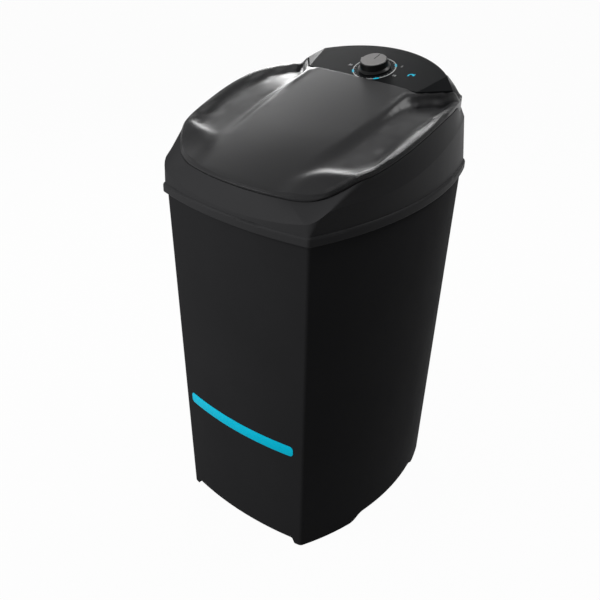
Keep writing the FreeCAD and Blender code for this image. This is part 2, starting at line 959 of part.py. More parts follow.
def above_panel(drop):
    """What the panel's tilted face and its two folded ends cut away, lowered by the drop."""
    fall = V(0, 0, -drop)
    rear_y = panel_apex_y + reach
    face = prism([
        V(-reach, 0, panel_front_z - panel_slope * panel_front_y) + fall,
        V(-reach, rear_y, panel_front_z + panel_slope * (rear_y - panel_front_y)) + fall,
        V(-reach, rear_y, reach + panel_front_z),
        V(-reach, 0, reach + panel_front_z),
    ], X * (2 * reach))
    front = V(panel_front_half, panel_front_y, panel_front_z) + fall
    back_z = panel_front_z + panel_slope * (panel_back_y - panel_front_y)
    back = V(panel_back_x, panel_back_y, back_z) + fall
    end = V(panel_end_x, panel_end_y, panel_end_z) + fall
    along = unit(back - front)
    out = unit((end - front) - along * (end - front).dot(along))
    normal = unit(along.cross(out) * -1)
    ends = ((-reach, -fold_lap), (reach, -fold_lap), (reach, reach), (-reach, reach))
    corners = [front + along * a + out * b for a, b in ends]
    fold = prism(corners, normal * reach)
    return [face, fold, fold.mirror(V(), X)]


def on_panel(shape):
    """Carries a shape from the knob's own axis to its place on the tilted panel."""
    shape.rotate(V(), X, panel_tilt)
    shape.translate(V(0, knob_y, knob_z))
    return shape


def make_control_panel():
    top = panel_base + reach
    outer = panel_prism(0, panel_base, top).cut(above_panel(0.0))
    inner = panel_prism(-panel_wall, panel_base, top).cut(above_panel(panel_wall))
    hole = on_panel(rod(timer_shaft_r + panel_hole_gap, V(0, 0, -3 * panel_wall), V(0, 0, panel_wall)))
    return outer.cut([inner, hole])


def make_console_housing():
    inner_step = console_step + console_wall
    housing = panel_prism(-console_step, seam_rear_z, panel_base)
    housing = housing.cut(panel_prism(-inner_step, seam_rear_z + console_floor, panel_base))
    return housing.cut(rod(loom_r + loose_fit, V(0, loom_y, 0), V(0, loom_y, panel_front_z)))


def make_timer_body():
    case = rod(timer_r, V(0, 0, -panel_wall - timer_deep), V(0, 0, -panel_wall))
    lug_end = timer_r + timer_lug_long
    lugs = box(-lug_end, lug_end, -timer_lug_half, timer_lug_half, -panel_wall - timer_lug_thick, -panel_wall)
    bore = rod(timer_shaft_r + running_fit, V(0, 0, -panel_wall - timer_bore_share * timer_deep), V())
    return on_panel(fused(case, lugs).cut(bore))


def make_timer_shaft():
    low = -panel_wall - timer_shaft_share * timer_deep
    return on_panel(rod(timer_shaft_r, V(0, 0, low), V(0, 0, knob_bore_share * knob_high)))


def make_timer_knob():
    profile = [
        (0, knob_gap),
        (knob_skirt_r, knob_gap),
        (knob_skirt_r, knob_skirt_high),
        (knob_top_r + knob_edge, knob_shoulder_high),
        (knob_top_r, knob_high - knob_edge),
        (knob_top_r - knob_edge, knob_high),
        (0, knob_high),
    ]
    body = revolved(profile, 0, 0)
    seat = rod(knob_cap_r + running_fit, V(0, 0, knob_high - knob_cap_thick), V(0, 0, knob_high + 1))
    bore = rod(timer_shaft_r + running_fit, V(), V(0, 0, knob_bore_share * knob_high + running_fit))
    return on_panel(body.cut([seat, bore]))


def make_knob_cap():
    low = knob_high - knob_cap_thick
    cap = rod(knob_cap_r, V(0, 0, low), V(0, 0, knob_high))
    half = pointer_wide / 2
    groove = box(-half, half, pointer_start, reach, knob_high - pointer_deep, knob_high + pointer_deep)
    return on_panel(cap.cut(groove))


def make_wash_tub():
    outer = tapered(tub_base_plan, tub_floor - tub_floor_thick, tub_plan, deck_top)
    brim = deck_top + tub_flange_thick
    inner = tapered(tub_base_plan.inset(tub_wall), tub_floor, tub_plan.inset(tub_wall), brim)
    floor_edges = [e for e in inner.Edges if e.BoundBox.ZMax < tub_floor + 0.1]
    inner = inner.makeFillet(tub_floor_round, floor_edges)
    flange = tub_plan.inset(-tub_flange).solid(deck_top, brim)
    cup = rod(recess_r + tub_floor_thick, V(0, tub_y, recess_under), V(0, tub_y, tub_floor))
    recess = rod(recess_r, V(0, tub_y, recess_floor), V(0, tub_y, tub_floor + 1))
    spigot = rod(drain_r, V(drain_x, drain_y, tub_floor - drain_drop), V(drain_x, drain_y, tub_floor - 1))
    bosses = [rod(bracket_boss_r, V(x, bracket_bolt_y, recess_under), V(x, bracket_bolt_y, tub_floor - 1))
              for x in (-bracket_half - bracket_flange / 2, bracket_half + bracket_flange / 2)]
    body = outer.fuse([flange, cup, spigot] + bosses)
    body = body.cut([inner, recess])
    rail_in = filter_half + 2 * loose_fit
    rear = tub_y + tub_half
    front = filter_front_y - loose_fit
    rail_out = rail_in + rail_thick
    face = front - rail_lip_thick
    post = box(rail_in, rail_out, face, rear, rail_low, rail_high)
    lip = box(rail_in - rail_lip, rail_out, face, front, rail_low, rail_high)
    stop = box(-rail_out, rail_out, face, rear, rail_low - rail_lip_thick, rail_low)
    mid_wall = tub_wall / 2
    backing = tapered(tub_base_plan.inset(mid_wall), tub_floor, tub_plan.inset(mid_wall), deck_top)
    rails = [shape.common(backing) for shape in (post, lip, post.mirror(V(), X), lip.mirror(V(), X), stop)]
    body = body.fuse(rails)
    shaft_hole = rod(bush_r + neck_wall + loose_fit, V(0, tub_y, 0), V(0, tub_y, tub_floor))
    drain_hole = rod(drain_bore_r, V(drain_x, drain_y, 0), V(drain_x, drain_y, tub_floor + 1))
    return body.cut([shaft_hole, drain_hole]).removeSplitter()


def make_drain_grille():
    centre = V(drain_x, drain_y, tub_floor)
    disc = rod(drain_r + grille_lap, centre, centre + Z * grille_thick)
    holes = [rod(grille_hole_r, centre, centre + Z * grille_thick)]
    for i in range(grille_hole_count):
        turn = math.radians(360.0 * i / grille_hole_count)
        spot = centre + V(math.cos(turn), math.sin(turn), 0) * grille_ring_r
        holes.append(rod(grille_hole_r, spot, spot + Z * grille_thick))
    return disc.cut(holes)


def bent_tube(points, bend, outer, inner=0.0):
    """Tube along straight runs joined by tangent arcs of one bend radius."""
    edges = []
    start = points[0]
    for before, corner, after in zip(points, points[1:], points[2:]):
        back = unit(before - corner)
        ahead = unit(after - corner)
        half_turn = back.getAngle(ahead) / 2
        trim = bend / math.tan(half_turn)
        centre = corner + unit(back + ahead) * (bend / math.sin(half_turn))
        middle = centre + unit(corner - centre) * bend
        edges.append(Part.makeLine(start, corner + back * trim))
        edges.append(Part.Arc(corner + back * trim, middle, corner + ahead * trim).toShape())
        start = corner + ahead * trim
    edges.append(Part.makeLine(start, points[-1]))
    path = Part.Wire(edges)

    def swept(radius):
        ring = Part.Wire(Part.makeCircle(radius, points[0], points[1] - points[0]))
        return path.makePipeShell([ring], True, False)

    return swept(outer).cut(swept(inner)) if inner else swept(outer)


def make_drain_pipe():
    top = V(drain_x, drain_y, tub_floor - drain_drop)
    corner = V(drain_x, drain_y, outlet_z)
    end = V(drain_x, outlet_face_y - pipe_end_gap, outlet_z)
    return bent_tube([top, corner, end], pipe_bend, drain_r, drain_bore_r)


def make_drain_spigot():
    def at(y):
        return V(drain_x, y, outlet_z)

    flange = rod(outlet_flange_r, at(outlet_face_y), at(outlet_face_y + outlet_flange_thick))
    nozzle = rod(outlet_nozzle_r, at(outlet_face_y), at(outlet_face_y + outlet_reach))
    barbs = [Part.makeCone(outlet_nozzle_r + barb_rise, outlet_nozzle_r, barb_long, at(outlet_face_y + y), Y)
             for y in (outlet_reach - 2 * barb_pitch, outlet_reach - barb_pitch)]
    inner_end = at(outlet_face_y - outlet_barrel)
    barrel = rod(drain_bore_r - loose_fit, inner_end, at(outlet_face_y))
    bore = rod(outlet_nozzle_r - outlet_wall, inner_end, at(outlet_face_y + outlet_reach))
    return fused(flange, nozzle, barrel, *barbs).cut(bore)


def make_cord_gland():
    def at(y):
        return V(-drain_x, y, outlet_z)

    flange = rod(gland_flange_r, at(outlet_face_y), at(outlet_face_y + gland_flange_thick))
    barrel = rod(gland_body_r, at(outlet_face_y - gland_barrel), at(outlet_face_y))
    bore = rod(gland_bore_r, at(outlet_face_y - gland_barrel), at(outlet_face_y + gland_flange_thick))
    return fused(flange, barrel).cut(bore)


def skin_patch(window, gap, thick):
    """Piece of a layer that lies on the cabinet wall inside the window."""
    return window.common(cabinet_solid(-gap - thick)).cut(cabinet_solid(-gap))


def make_accent_strip():
    window = rounded_window(strip_half, strip_low, strip_high, strip_round, -reach, 0)
    return skin_patch(window, film_gap, strip_thick)


def make_rear_cover():
    window = rounded_window(cover_half, cover_low, cover_high, cover_round, 0, reach)
    cover = skin_patch(window, film_gap, cover_thick)
    slots = []
    for i in range(louvre_count):
        low = louvre_low + louvre_pitch * i
        slots.append(rounded_window(louvre_half, low, low + louvre_high, louvre_high / 2 - 0.1, 0, reach))
    return cover.cut(slots)


def make_bearing_housing():
    seal_top = recess_floor + seal_stand
    flange_low = recess_under - housing_flange_thick
    profile = [
        (bush_r, housing_low),
        (housing_r, housing_low),
        (housing_r, flange_low - housing_cone),
        (housing_r + housing_cone, flange_low),
        (housing_flange_r, flange_low),
        (housing_flange_r, recess_under),
        (bush_r + neck_wall, recess_under),
        (bush_r + neck_wall, seal_top),
        (bush_r, seal_top),
    ]
    housing = revolved(profile, 0, tub_y)
    ribs = []
    for i in range(housing_rib_count):
        rib = prism([
            V(housing_r - housing_rib_bite, -housing_rib_thick / 2, flange_low),
            V(housing_flange_r - housing_rib_edge, -housing_rib_thick / 2, flange_low),
            V(housing_r - housing_rib_bite, -housing_rib_thick / 2, recess_under - housing_rib_drop),
        ], Y * housing_rib_thick)
        rib.rotate(V(), Z, 360.0 * i / housing_rib_count)
        rib.translate(V(0, tub_y, 0))
        ribs.append(rib)
    return fused(housing, *ribs)


def bush(low, length):
    return pipe(bush_r - running_fit, shaft_r + running_fit, V(0, tub_y, low), V(0, tub_y, low + length))


def make_shaft_seal():
    return bush(recess_floor + seal_stand - seal_long, seal_long)


def make_upper_bush():
    return bush(recess_floor + seal_stand - bush_drop - seal_long - bush_long, bush_long)


def make_lower_bush():
    return bush(housing_low, bush_long)


def make_drive_shaft():
    return rod(shaft_r, V(0, tub_y, shaft_low), V(0, tub_y, shaft_top))


def make_agitator():
    low = recess_floor + agitator_lift
    top = low + agitator_high
    dish = revolved([
        (0, low),
        (agitator_r - agitator_edge_in, low),
        (agitator_r, low + agitator_edge_rise),
        (agitator_r, low + agitator_edge_rise + agitator_thick),
        (agitator_hub_r + dish_wide, low + dish_rise),
        (agitator_hub_r, low + hub_foot_rise),
        (agitator_hub_r - hub_taper, top),
        (0, top),
    ], 0, 0)
    envelope = revolved([
        (0, low + vane_foot),
        (agitator_r - vane_edge, low + vane_foot),
        (agitator_r - vane_edge, low + vane_tip_rise),
        (agitator_r - vane_shoulder, low + vane_shoulder_rise),
        (agitator_hub_r, top - vane_drop),
        (0, top - vane_drop),
    ], 0, 0)
    vanes = []
    for i in range(vane_count):
        centre = V(0, -vane_bow_r, 0)
        half = vane_thick / 2
        ring = pipe(vane_bow_r + half, vane_bow_r - half, centre + Z * low, centre + Z * top)
        vane = ring.common(box(0, agitator_r, -agitator_r, vane_thick, low, top)).common(envelope)
        vane.rotate(V(), Z, 360.0 * i / vane_count)
        vanes.append(vane)
    body = fused(dish, *vanes)
    holes = []
    for i in range(hole_count):
        turn = math.radians(360.0 * (i + 0.5) / hole_count)
        spot = V(math.cos(turn), math.sin(turn), 0) * hole_ring_r
        holes.append(rod(hole_r, spot + Z * (low - 1), spot + Z * (low + hole_deep)))
    cavity = pipe(agitator_r - cavity_edge, agitator_hub_r, V(0, 0, low - 1), V(0, 0, low + cavity_deep))
    bore = rod(shaft_r + running_fit, V(0, 0, low - 1), V(0, 0, shaft_top + running_fit))
    seal_room = rod(bush_r + seal_room_gap, V(0, 0, low - 1), V(0, 0, low + seal_room_deep))
    body = body.cut(holes + [cavity, bore, seal_room])
    body.translate(V(0, tub_y, 0))
    return body


def make_agitator_cap():
    low = recess_floor + agitator_lift + agitator_high
    r = agitator_hub_r - hub_taper
    return revolved([
        (0, low),
        (r, low),
        (r - cap_lean, low + cap_side_high),
        (r - cap_crown_in, low + cap_crown_rise),
        (0, low + cap_high),
    ], 0, tub_y)


def groove_profile(radius):
    """V groove of a pulley, deep enough for the belt."""
    deep = belt_thick + belt_sink - belt_thick / 2 + groove_gap
    wide = belt_wide / 2 + groove_gap + groove_flare
    narrow = belt_inner_wide / 2 + groove_gap - groove_pinch
    return [
        (radius - deep, pulley_mid - narrow),
        (radius + groove_lead, pulley_mid - wide),
        (radius + groove_lead, pulley_mid + wide),
        (radius - deep, pulley_mid + narrow),
    ]


def make_driven_pulley():
    low = pulley_mid - pulley_wide / 2
    high = pulley_mid + pulley_wide / 2
    half_web = Z * (pulley_web / 2)
    middle = V(0, tub_y, pulley_mid)
    rim = pipe(pulley_r, pulley_r - pulley_rim, V(0, tub_y, low), V(0, tub_y, high))
    web = rod(pulley_r - pulley_web_edge, middle - half_web, middle + half_web)
    hub = rod(pulley_hub_r, V(0, tub_y, pulley_hub_low), V(0, tub_y, pulley_hub_high))
    body = fused(rim, web, hub)
    holes = []
    for i in range(pulley_hole_count):
        turn = math.radians(360.0 * i / pulley_hole_count)
        spot = V(math.cos(turn) * pulley_hole_ring, tub_y + math.sin(turn) * pulley_hole_ring, 0)
        holes.append(rod(pulley_hole_r, spot + Z * low, spot + Z * high))
    bore = rod(shaft_r + running_fit, V(0, tub_y, low - 10), V(0, tub_y, high + 10))
    return body.cut(holes + [bore, revolved(groove_profile(pulley_r), 0, tub_y)])


def make_pulley_nut():
    points = []
    for i in range(6):
        turn = math.radians(60 * i)
        points.append(V(nut_r * math.cos(turn), tub_y + nut_r * math.sin(turn), pulley_hub_low - nut_high))
    return prism(points, Z * nut_high).cut(rod(shaft_r + running_fit, V(0, tub_y, 0), V(0, tub_y, tub_floor)))


def make_drive_belt():
    big = pulley_r - belt_sink
    small = motor_pulley_r - belt_sink
    lean = (big - small) / motor_reach
    side = math.sqrt(1.0 - lean**2)
    centre = V(0, tub_y, pulley_mid)
    far = V(0, motor_y, pulley_mid)
    right = V(side, lean, 0)
    left = mirrored(right)
    path = Part.Wire([
        Part.makeLine(centre + right * big, far + right * small),
        Part.Arc(far + right * small, far + Y * small, far + left * small).toShape(),
        Part.makeLine(far + left * small, centre + left * big),
        Part.Arc(centre + left * big, centre - Y * big, centre + right * big).toShape(),
    ])
    start = centre + right * big
    half = belt_thick / 2
    corners = [
        start + right * half + Z * (belt_wide / 2),
        start + right * half - Z * (belt_wide / 2),
        start - right * half - Z * (belt_inner_wide / 2),
        start - right * half + Z * (belt_inner_wide / 2),
    ]
    return path.makePipeShell([Part.makePolygon(corners + corners[:1])], True, True)


def at_motor(z):
    return V(0, motor_y, z)


def ear_points(z):
    spots = []
    for i in range(4):
        turn = math.radians(45 + 90 * i)
        spots.append(at_motor(z) + V(math.cos(turn), math.sin(turn), 0) * motor_ear_ring)
    return spots


def make_motor_bracket():
    high = recess_under
    plate_top = bracket_plate + bracket_thick
    plate = box(-bracket_half, bracket_half, bracket_front, bracket_rear, bracket_plate, plate_top)
    inner = bracket_half - bracket_thick
    outer = bracket_half + bracket_flange
    wall = box(inner, bracket_half, bracket_front, bracket_wall_rear, bracket_plate, high)
    flange = box(inner, outer, bracket_front, bracket_wall_rear, high - bracket_thick, high)
    body = fused(plate, wall, flange, wall.mirror(V(), X), flange.mirror(V(), X))
    holes = [rod(bracket_shaft_hole_r, at_motor(bracket_plate), at_motor(plate_top))]
    holes += [rod(grommet_bore_r, p, p + Z * bracket_thick) for p in ear_points(bracket_plate)]
    return body.cut(holes)


def make_motor_grommets():
    low = bracket_plate + bracket_thick
    rise = Z * grommet_high
    return Part.makeCompound([pipe(grommet_r, grommet_bore_r, p, p + rise) for p in ear_points(low)])


def make_motor_lower_cap():
    cap = rod(motor_r, at_motor(motor_low), at_motor(can_low))
    ears = [rod(grommet_r + motor_ear_edge, p, p + Z * (motor_cap_high / 2)) for p in ear_points(motor_low)]
    cap = fused(cap, *ears)
    holes = [rod(grommet_bore_r, p, p + Z * motor_cap_high) for p in ear_points(motor_low)]
    hollow = rod(motor_r - motor_cap_wall, at_motor(motor_low + motor_cap_floor), at_motor(can_low))
    bore_r = motor_shaft_r + running_fit
    boss = pipe(motor_shaft_r + motor_boss_wall, bore_r, at_motor(motor_low), at_motor(can_low))
    bore = rod(bore_r, at_motor(motor_low), at_motor(can_low))
    return fused(cap.cut(holes + [hollow, bore]), boss)


def make_motor_can():
    return pipe(motor_r, motor_r - motor_can_wall, at_motor(can_low), at_motor(can_high))


def make_motor_upper_cap():
    top = can_high + motor_cap_high
    cap = rod(motor_r, at_motor(can_high), at_motor(top))
    roof = at_motor(top - motor_cap_roof)
    hollow = pipe(motor_r - motor_cap_wall, motor_shaft_r + motor_boss_wall, at_motor(can_high), roof)
    half = motor_slot_wide / 2
    slots = []
    for i in range(motor_slot_count):
        slot = box(motor_slot_in, motor_slot_out, -half, half, top - motor_slot_deep, top + motor_slot_deep)
        slot.rotate(V(), Z, 360.0 * (i + 0.5) / motor_slot_count)
        slot.translate(V(0, motor_y, 0))
        slots.append(slot)
    bore = rod(motor_shaft_r + running_fit, at_motor(can_high), at_motor(top - motor_bore_roof))
    return cap.cut(slots + [hollow, bore])


def make_motor_stator():
    inner = rotor_r + air_gap
    outer = motor_r - motor_can_wall - loose_fit
    core = pipe(outer, inner, at_motor(can_low + stator_gap), at_motor(can_high - stator_gap))
    coil_outer = motor_r - coil_edge
    coil_inner = inner + coil_step
    coil_low = pipe(coil_outer, coil_inner, at_motor(can_low + coil_gap), at_motor(can_low + coil_long))
    coil_high = pipe(coil_outer, coil_inner, at_motor(can_high - coil_long), at_motor(can_high - coil_gap))
    return fused(core, coil_low, coil_high)


def make_motor_shaft():
    return rod(motor_shaft_r, at_motor(motor_shaft_low), at_motor(can_high + motor_cap_high - motor_cap_roof))


def make_motor_rotor():
    low = (can_low + can_high - rotor_high) / 2
    return pipe(rotor_r, motor_shaft_r + running_fit, at_motor(low), at_motor(low + rotor_high))


def make_motor_pulley():
    low = pulley_mid - pulley_wide / 2
    high = pulley_mid + pulley_wide / 2
    body = rod(motor_pulley_r, at_motor(low), at_motor(high))
    bore = rod(motor_shaft_r + running_fit, at_motor(low), at_motor(high))
    return body.cut([bore, revolved(groove_profile(motor_pulley_r), 0, motor_y)])


def capacitor_at(z):
    return V(bracket_half + clip_thick + loose_fit + capacitor_r + capacitor_gap, capacitor_y, z)


def make_capacitor():
    body = rod(capacitor_r, capacitor_at(capacitor_low), capacitor_at(capacitor_low + capacitor_high))
    half = tab_thick / 2
    tabs = []
    for x in (-tab_place, tab_place):
        tab = box(x - tab_half, x + tab_half, -half, half, -tab_long, tab_root)
        tab.translate(capacitor_at(capacitor_low))
        tabs.append(tab)
    return fused(body, *tabs)


def make_capacitor_clip():
    low = capacitor_low + capacitor_high / 2 - clip_high / 2
    high = low + clip_high
    bore = capacitor_r + loose_fit
    ring = rod(bore + clip_thick, capacitor_at(low), capacitor_at(high))
    x1 = bracket_half + clip_thick + clip_bite
    tab = box(bracket_half, x1, capacitor_y - clip_tab_half, capacitor_y + clip_tab_half, low, high)
    return fused(ring, tab).cut(rod(bore, capacitor_at(low), capacitor_at(high)))


def make_wiring_loom():
    middle = (can_low + can_high) / 2
    top = V(0, loom_y, seam_rear_z + console_floor + loom_end_rise)
    corner = V(0, loom_y, middle)
    end = V(0, motor_y + motor_r + loose_fit, middle)
    return bent_tube([top, corner, end], loom_bend, loom_r)


def filter_block(border, y0, y1):
    low = rail_low + loose_fit
    return box(-filter_half + border, filter_half - border, y0, y1, low + border, low + filter_high - border)


def make_filter_frame():
    rear = filter_front_y + filter_thick
    frame = filter_block(0.0, filter_front_y, rear).cut(filter_block(filter_border, filter_front_y, rear))
    top = rail_low + loose_fit + filter_high
    front = filter_front_y - grip_reach
    grip = box(-grip_half, grip_half, front, filter_front_y + grip_bite, top - grip_low, top - grip_high)
    return fused(frame, grip)


def make_filter_mesh():
    middle = filter_front_y + filter_thick / 2
    net = filter_block(filter_border + film_gap, middle - net_thick / 2, middle + net_thick / 2)
    inside = net.BoundBox
    pitch = inside.ZLength / filter_bars
    gaps = []
    for i in range(filter_bars):
        low = inside.ZMin + pitch * i + net_rung / 2
        high = low + pitch - net_rung
        for x0, x1 in ((inside.XMin + net_edge, -net_spine / 2), (net_spine / 2, inside.XMax - net_edge)):
            gaps.append(box(x0, x1, middle - net_thick, middle + net_thick, low, high))
    return net.cut(gaps)


makers = {
    "cabinet_shell": make_cabinet_shell,
    "foot_pads": make_foot_pads,
    "top_collar": make_top_collar,
    "lid_buffers": make_lid_buffers,
    "hinge_brackets": make_hinge_brackets,
    "hinge_pins": make_hinge_pins,
    "lid_cover": make_lid_cover,
    "console_housing": make_console_housing,
    "control_panel": make_control_panel,
    "timer_body": make_timer_body,
    "timer_shaft": make_timer_shaft,
    "timer_knob": make_timer_knob,
    "knob_cap": make_knob_cap,
    "wash_tub": make_wash_tub,
    "drain_grille": make_drain_grille,
    "drain_pipe": make_drain_pipe,
    "drain_spigot": make_drain_spigot,
    "cord_gland": make_cord_gland,
    "filter_frame": make_filter_frame,
    "filter_mesh": make_filter_mesh,
    "agitator": make_agitator,
    "agitator_cap": make_agitator_cap,
    "drive_shaft": make_drive_shaft,
    "bearing_housing": make_bearing_housing,
    "shaft_seal": make_shaft_seal,
    "upper_bush": make_upper_bush,
    "lower_bush": make_lower_bush,
    "driven_pulley": make_driven_pulley,
    "pulley_nut": make_pulley_nut,
    "drive_belt": make_drive_belt,
    "motor_pulley": make_motor_pulley,
    "motor_shaft": make_motor_shaft,
    "motor_rotor": make_motor_rotor,
    "motor_stator": make_motor_stator,
    "motor_can": make_motor_can,
    "motor_lower_cap": make_motor_lower_cap,
    "motor_upper_cap": make_motor_upper_cap,
    "motor_grommets": make_motor_grommets,
    "motor_bracket": make_motor_bracket,
    "capacitor": make_capacitor,
    "capacitor_clip": make_capacitor_clip,
    "wiring_loom": make_wiring_loom,
    "accent_strip": make_accent_strip,
    "rear_cover": make_rear_cover,
}

os.makedirs("parts", exist_ok=True)
for node, make in makers.items():
    make().exportStep(f"parts/{node}.step")
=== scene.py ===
"""Finishes, dial print, fixings and stage for a washing machine with one tub and a hinged lid."""

import json
import math

import bmesh
import bpy
from bpy.props import FloatProperty, FloatVectorProperty, IntProperty, PointerProperty
from bpy.types import Operator, Panel, PropertyGroup
from mathutils import Matrix, Vector
from mathutils.bvhtree import BVHTree


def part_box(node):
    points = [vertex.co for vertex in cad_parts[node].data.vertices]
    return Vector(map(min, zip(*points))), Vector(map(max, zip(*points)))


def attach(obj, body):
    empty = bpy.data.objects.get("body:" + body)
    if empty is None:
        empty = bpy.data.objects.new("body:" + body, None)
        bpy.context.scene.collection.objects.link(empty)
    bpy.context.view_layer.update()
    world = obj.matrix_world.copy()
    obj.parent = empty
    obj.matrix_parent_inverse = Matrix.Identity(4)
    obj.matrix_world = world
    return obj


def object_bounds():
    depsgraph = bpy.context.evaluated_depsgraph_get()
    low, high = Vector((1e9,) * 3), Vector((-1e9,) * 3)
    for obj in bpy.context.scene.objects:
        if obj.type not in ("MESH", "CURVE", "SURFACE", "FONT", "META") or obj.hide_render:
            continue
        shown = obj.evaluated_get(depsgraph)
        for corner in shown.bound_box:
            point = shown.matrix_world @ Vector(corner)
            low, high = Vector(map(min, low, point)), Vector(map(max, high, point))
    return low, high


bl_info = {
    "name": "Washing machine dress",
    "version": (1, 0, 0),
    "blender": (4, 5, 0),
    "location": "View3D > Sidebar > Washer",
    "description": "Finishes, dial print, fixings and stage for the washing machine part",
    "category": "Object",
}

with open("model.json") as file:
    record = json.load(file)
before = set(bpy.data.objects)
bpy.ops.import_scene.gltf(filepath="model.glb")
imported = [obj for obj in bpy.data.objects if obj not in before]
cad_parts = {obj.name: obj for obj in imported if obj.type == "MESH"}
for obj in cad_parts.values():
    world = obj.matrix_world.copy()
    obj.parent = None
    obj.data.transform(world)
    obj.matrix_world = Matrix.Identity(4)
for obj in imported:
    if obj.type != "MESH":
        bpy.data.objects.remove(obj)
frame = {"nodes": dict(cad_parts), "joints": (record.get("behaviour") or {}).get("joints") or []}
NODES = frame["nodes"]
JOINTS = {joint["name"]: joint for joint in frame["joints"]}
CAD_BOX = [list(corner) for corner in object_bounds()]

# Print round the knob: turns in degrees, clockwise from the top
NUMERALS = (("0", -25.0), ("5", 60.0), ("10", 100.0), ("15", -62.0), ("20", -98.0))
MARK_TURNS = (-52.0, 52.0, 140.0, -128.0)
MARK_HALF_TURN = 0.13
TICK_HALF_TURN = 0.008
ARROW_TURN = 88.0
ARROW_START, ARROW_STEP, ARROW_STEPS, ARROW_HEAD = -120.0, 10.0, 16, 48.0

# Stage: each lamp's place and width in metres, and the floor's tones
LAMPS = (
    ("key", (-1.2, -2.2, 1.75), 1.6),
    ("sky", (-1.15, 0.5, 1.55), 0.6),
    ("scoop", (-1.55, 1.67, 1.4), 0.9),
    ("glint", (1.0, 1.45, 2.8), 0.9),
)
LAMP_TARGET = Vector((0.0, 0.0, 0.6))
FLOOR_DARK = (0.24, 0.24, 0.24, 1.0)
FLOOR_LIGHT = (0.28, 0.28, 0.28, 1.0)
FLOOR_GLOW = 1.02
FLOOR_WHITE_SHARE = 0.95


def tone(*levels):
    """Linear colour of a screen colour given in 0 to 255."""
    shares = [level / 255.0 for level in levels]
    return tuple(s / 12.92 if s <= 0.04045 else ((s + 0.055) / 1.055) ** 2.4 for s in shares)


def colour(name, description, *levels):
    return FloatVectorProperty(name=name, description=description, subtype="COLOR", size=3, min=0.0, max=1.0,
                               default=tone(*levels))


def length(name, description, metres):
    return FloatProperty(name=name, description=description, unit="LENGTH", precision=5, min=0.0,
                         default=metres)


def power(name, description, watts):
    return FloatProperty(name=name, description=f"{description}, in watts", min=0.0, default=watts)


def angle(name, description, degrees):
    return FloatProperty(name=name, description=description, subtype="ANGLE", default=math.radians(degrees))


class WasherColours(PropertyGroup):
    """Colours of the finishes."""
    cabinet: colour("Cabinet", "Matte moulded wall", 38, 38, 39)
    collar: colour("Collar", "Satin frame round the lid", 48, 48, 49)
    lid: colour("Lid", "Glossy smoke lid", 33, 33, 34)
    panel: colour("Panel", "Satin face of the controls", 19, 20, 21)
    knob: colour("Knob", "Skirt of the knob", 10, 11, 11)
    knob_top: colour("Knob top", "Pale disc of the knob", 104, 103, 102)
    accent: colour("Accent", "Teal of the strip and the marks", 2, 190, 222)
    marks: colour("Marks", "Pale print round the knob", 176, 178, 178)
    tub: colour("Tub", "Wash tub", 222, 224, 224)
    agitator: colour("Agitator", "Agitator and filter frame", 196, 200, 203)
    pipe: colour("Pipe", "Drain fittings", 92, 94, 96)
    rubber: colour("Rubber", "Pads, seal and belt", 22, 22, 22)
    steel: colour("Steel", "Shafts, pins and screws", 186, 188, 190)
    bracket: colour("Bracket", "Painted motor bracket", 70, 74, 78)
    bronze: colour("Bronze", "Bearing bushes", 170, 128, 82)
    aluminium: colour("Aluminium", "Cast housing and pulleys", 170, 172, 174)
    iron: colour("Iron", "Motor laminations", 108, 108, 112)
    capacitor: colour("Capacitor", "Capacitor sleeve", 206, 206, 200)
    cable: colour("Cable", "Loom sleeve", 30, 30, 32)
    net: colour("Net", "Lint net", 120, 150, 168)


class WasherPrint(PropertyGroup):
    """Sizes of the print round the knob."""
    ring_radius: length("Ring radius", "Middle of the pale ring", 0.0445)
    ring_width: length("Ring width", "Width of the pale ring", 0.0019)
    mark_width: length("Mark width", "Width of the teal marks on the ring", 0.0042)
    numeral_size: length("Numeral size", "Height of the plain numerals", 0.0085)
    numeral_radius: length("Numeral radius", "How far the numerals stand from the knob's axis", 0.0565)
    arrow_place: length("Arrow place", "How far the arrow stands from the knob's axis", 0.088)
    arrow_size: length("Arrow size", "Radius of the curved arrow", 0.0062)
    pointer_width: length("Pointer width", "Width of the line on the knob's top", 0.0024)
    pointer_start: length("Pointer start", "Where the line on the knob's top starts", 0.002)
    pointer_end: length("Pointer end", "Where the line on the knob's top ends", 0.0225)
    thickness: length("Ink height", "How far the print stands off the panel", 0.00015)
    steps: IntProperty(name="Steps", description="Fine ticks round the ring", min=4, default=28)


class WasherFixings(PropertyGroup):
    """Sizes of screws and bolts."""
    screw_radius: length("Screw head", "Radius of a screw's head", 0.0042)
    screw_height: length("Screw height", "Height of a screw's head", 0.0022)
    bolt_radius: length("Bolt head", "Radius across a bolt's corners", 0.0058)
    bolt_height: length("Bolt height", "Height of a bolt's head", 0.0040)


class WasherStage(PropertyGroup):
    """Camera and light."""
    azimuth: angle("Azimuth", "Camera's turn to the right of the front", 39.0213)
    elevation: angle("Elevation", "Camera's height angle", 30.2005)
    roll: angle("Roll", "Camera's lean", 1.4973)
    distance: length("Distance", "Camera to the point it looks at", 1.9665)
    target: FloatVectorProperty(name="Target", description="Point that the camera looks at", subtype="XYZ",
                                unit="LENGTH", default=(-0.0455, 0.0, 0.4443))
    lens: FloatProperty(name="Lens", description="Focal length on a 36 mm sensor, in mm", default=52.4257)
    ambient: FloatProperty(name="Ambient", description="Light from all round", default=0.3, min=0.0)
    key: power("Key", "Power of the soft light in front", 66.0)
    sky: power("Sky", "Power of the soft light over the left flank", 1.3)
    scoop: power("Scoop", "Power of the low light that shines in the right scoop", 30.0)
    glint: power("Glint", "Power of the light behind the right flank", 32.0)
    floor_radius: length("Floor", "Radius of the floor", 14.0)


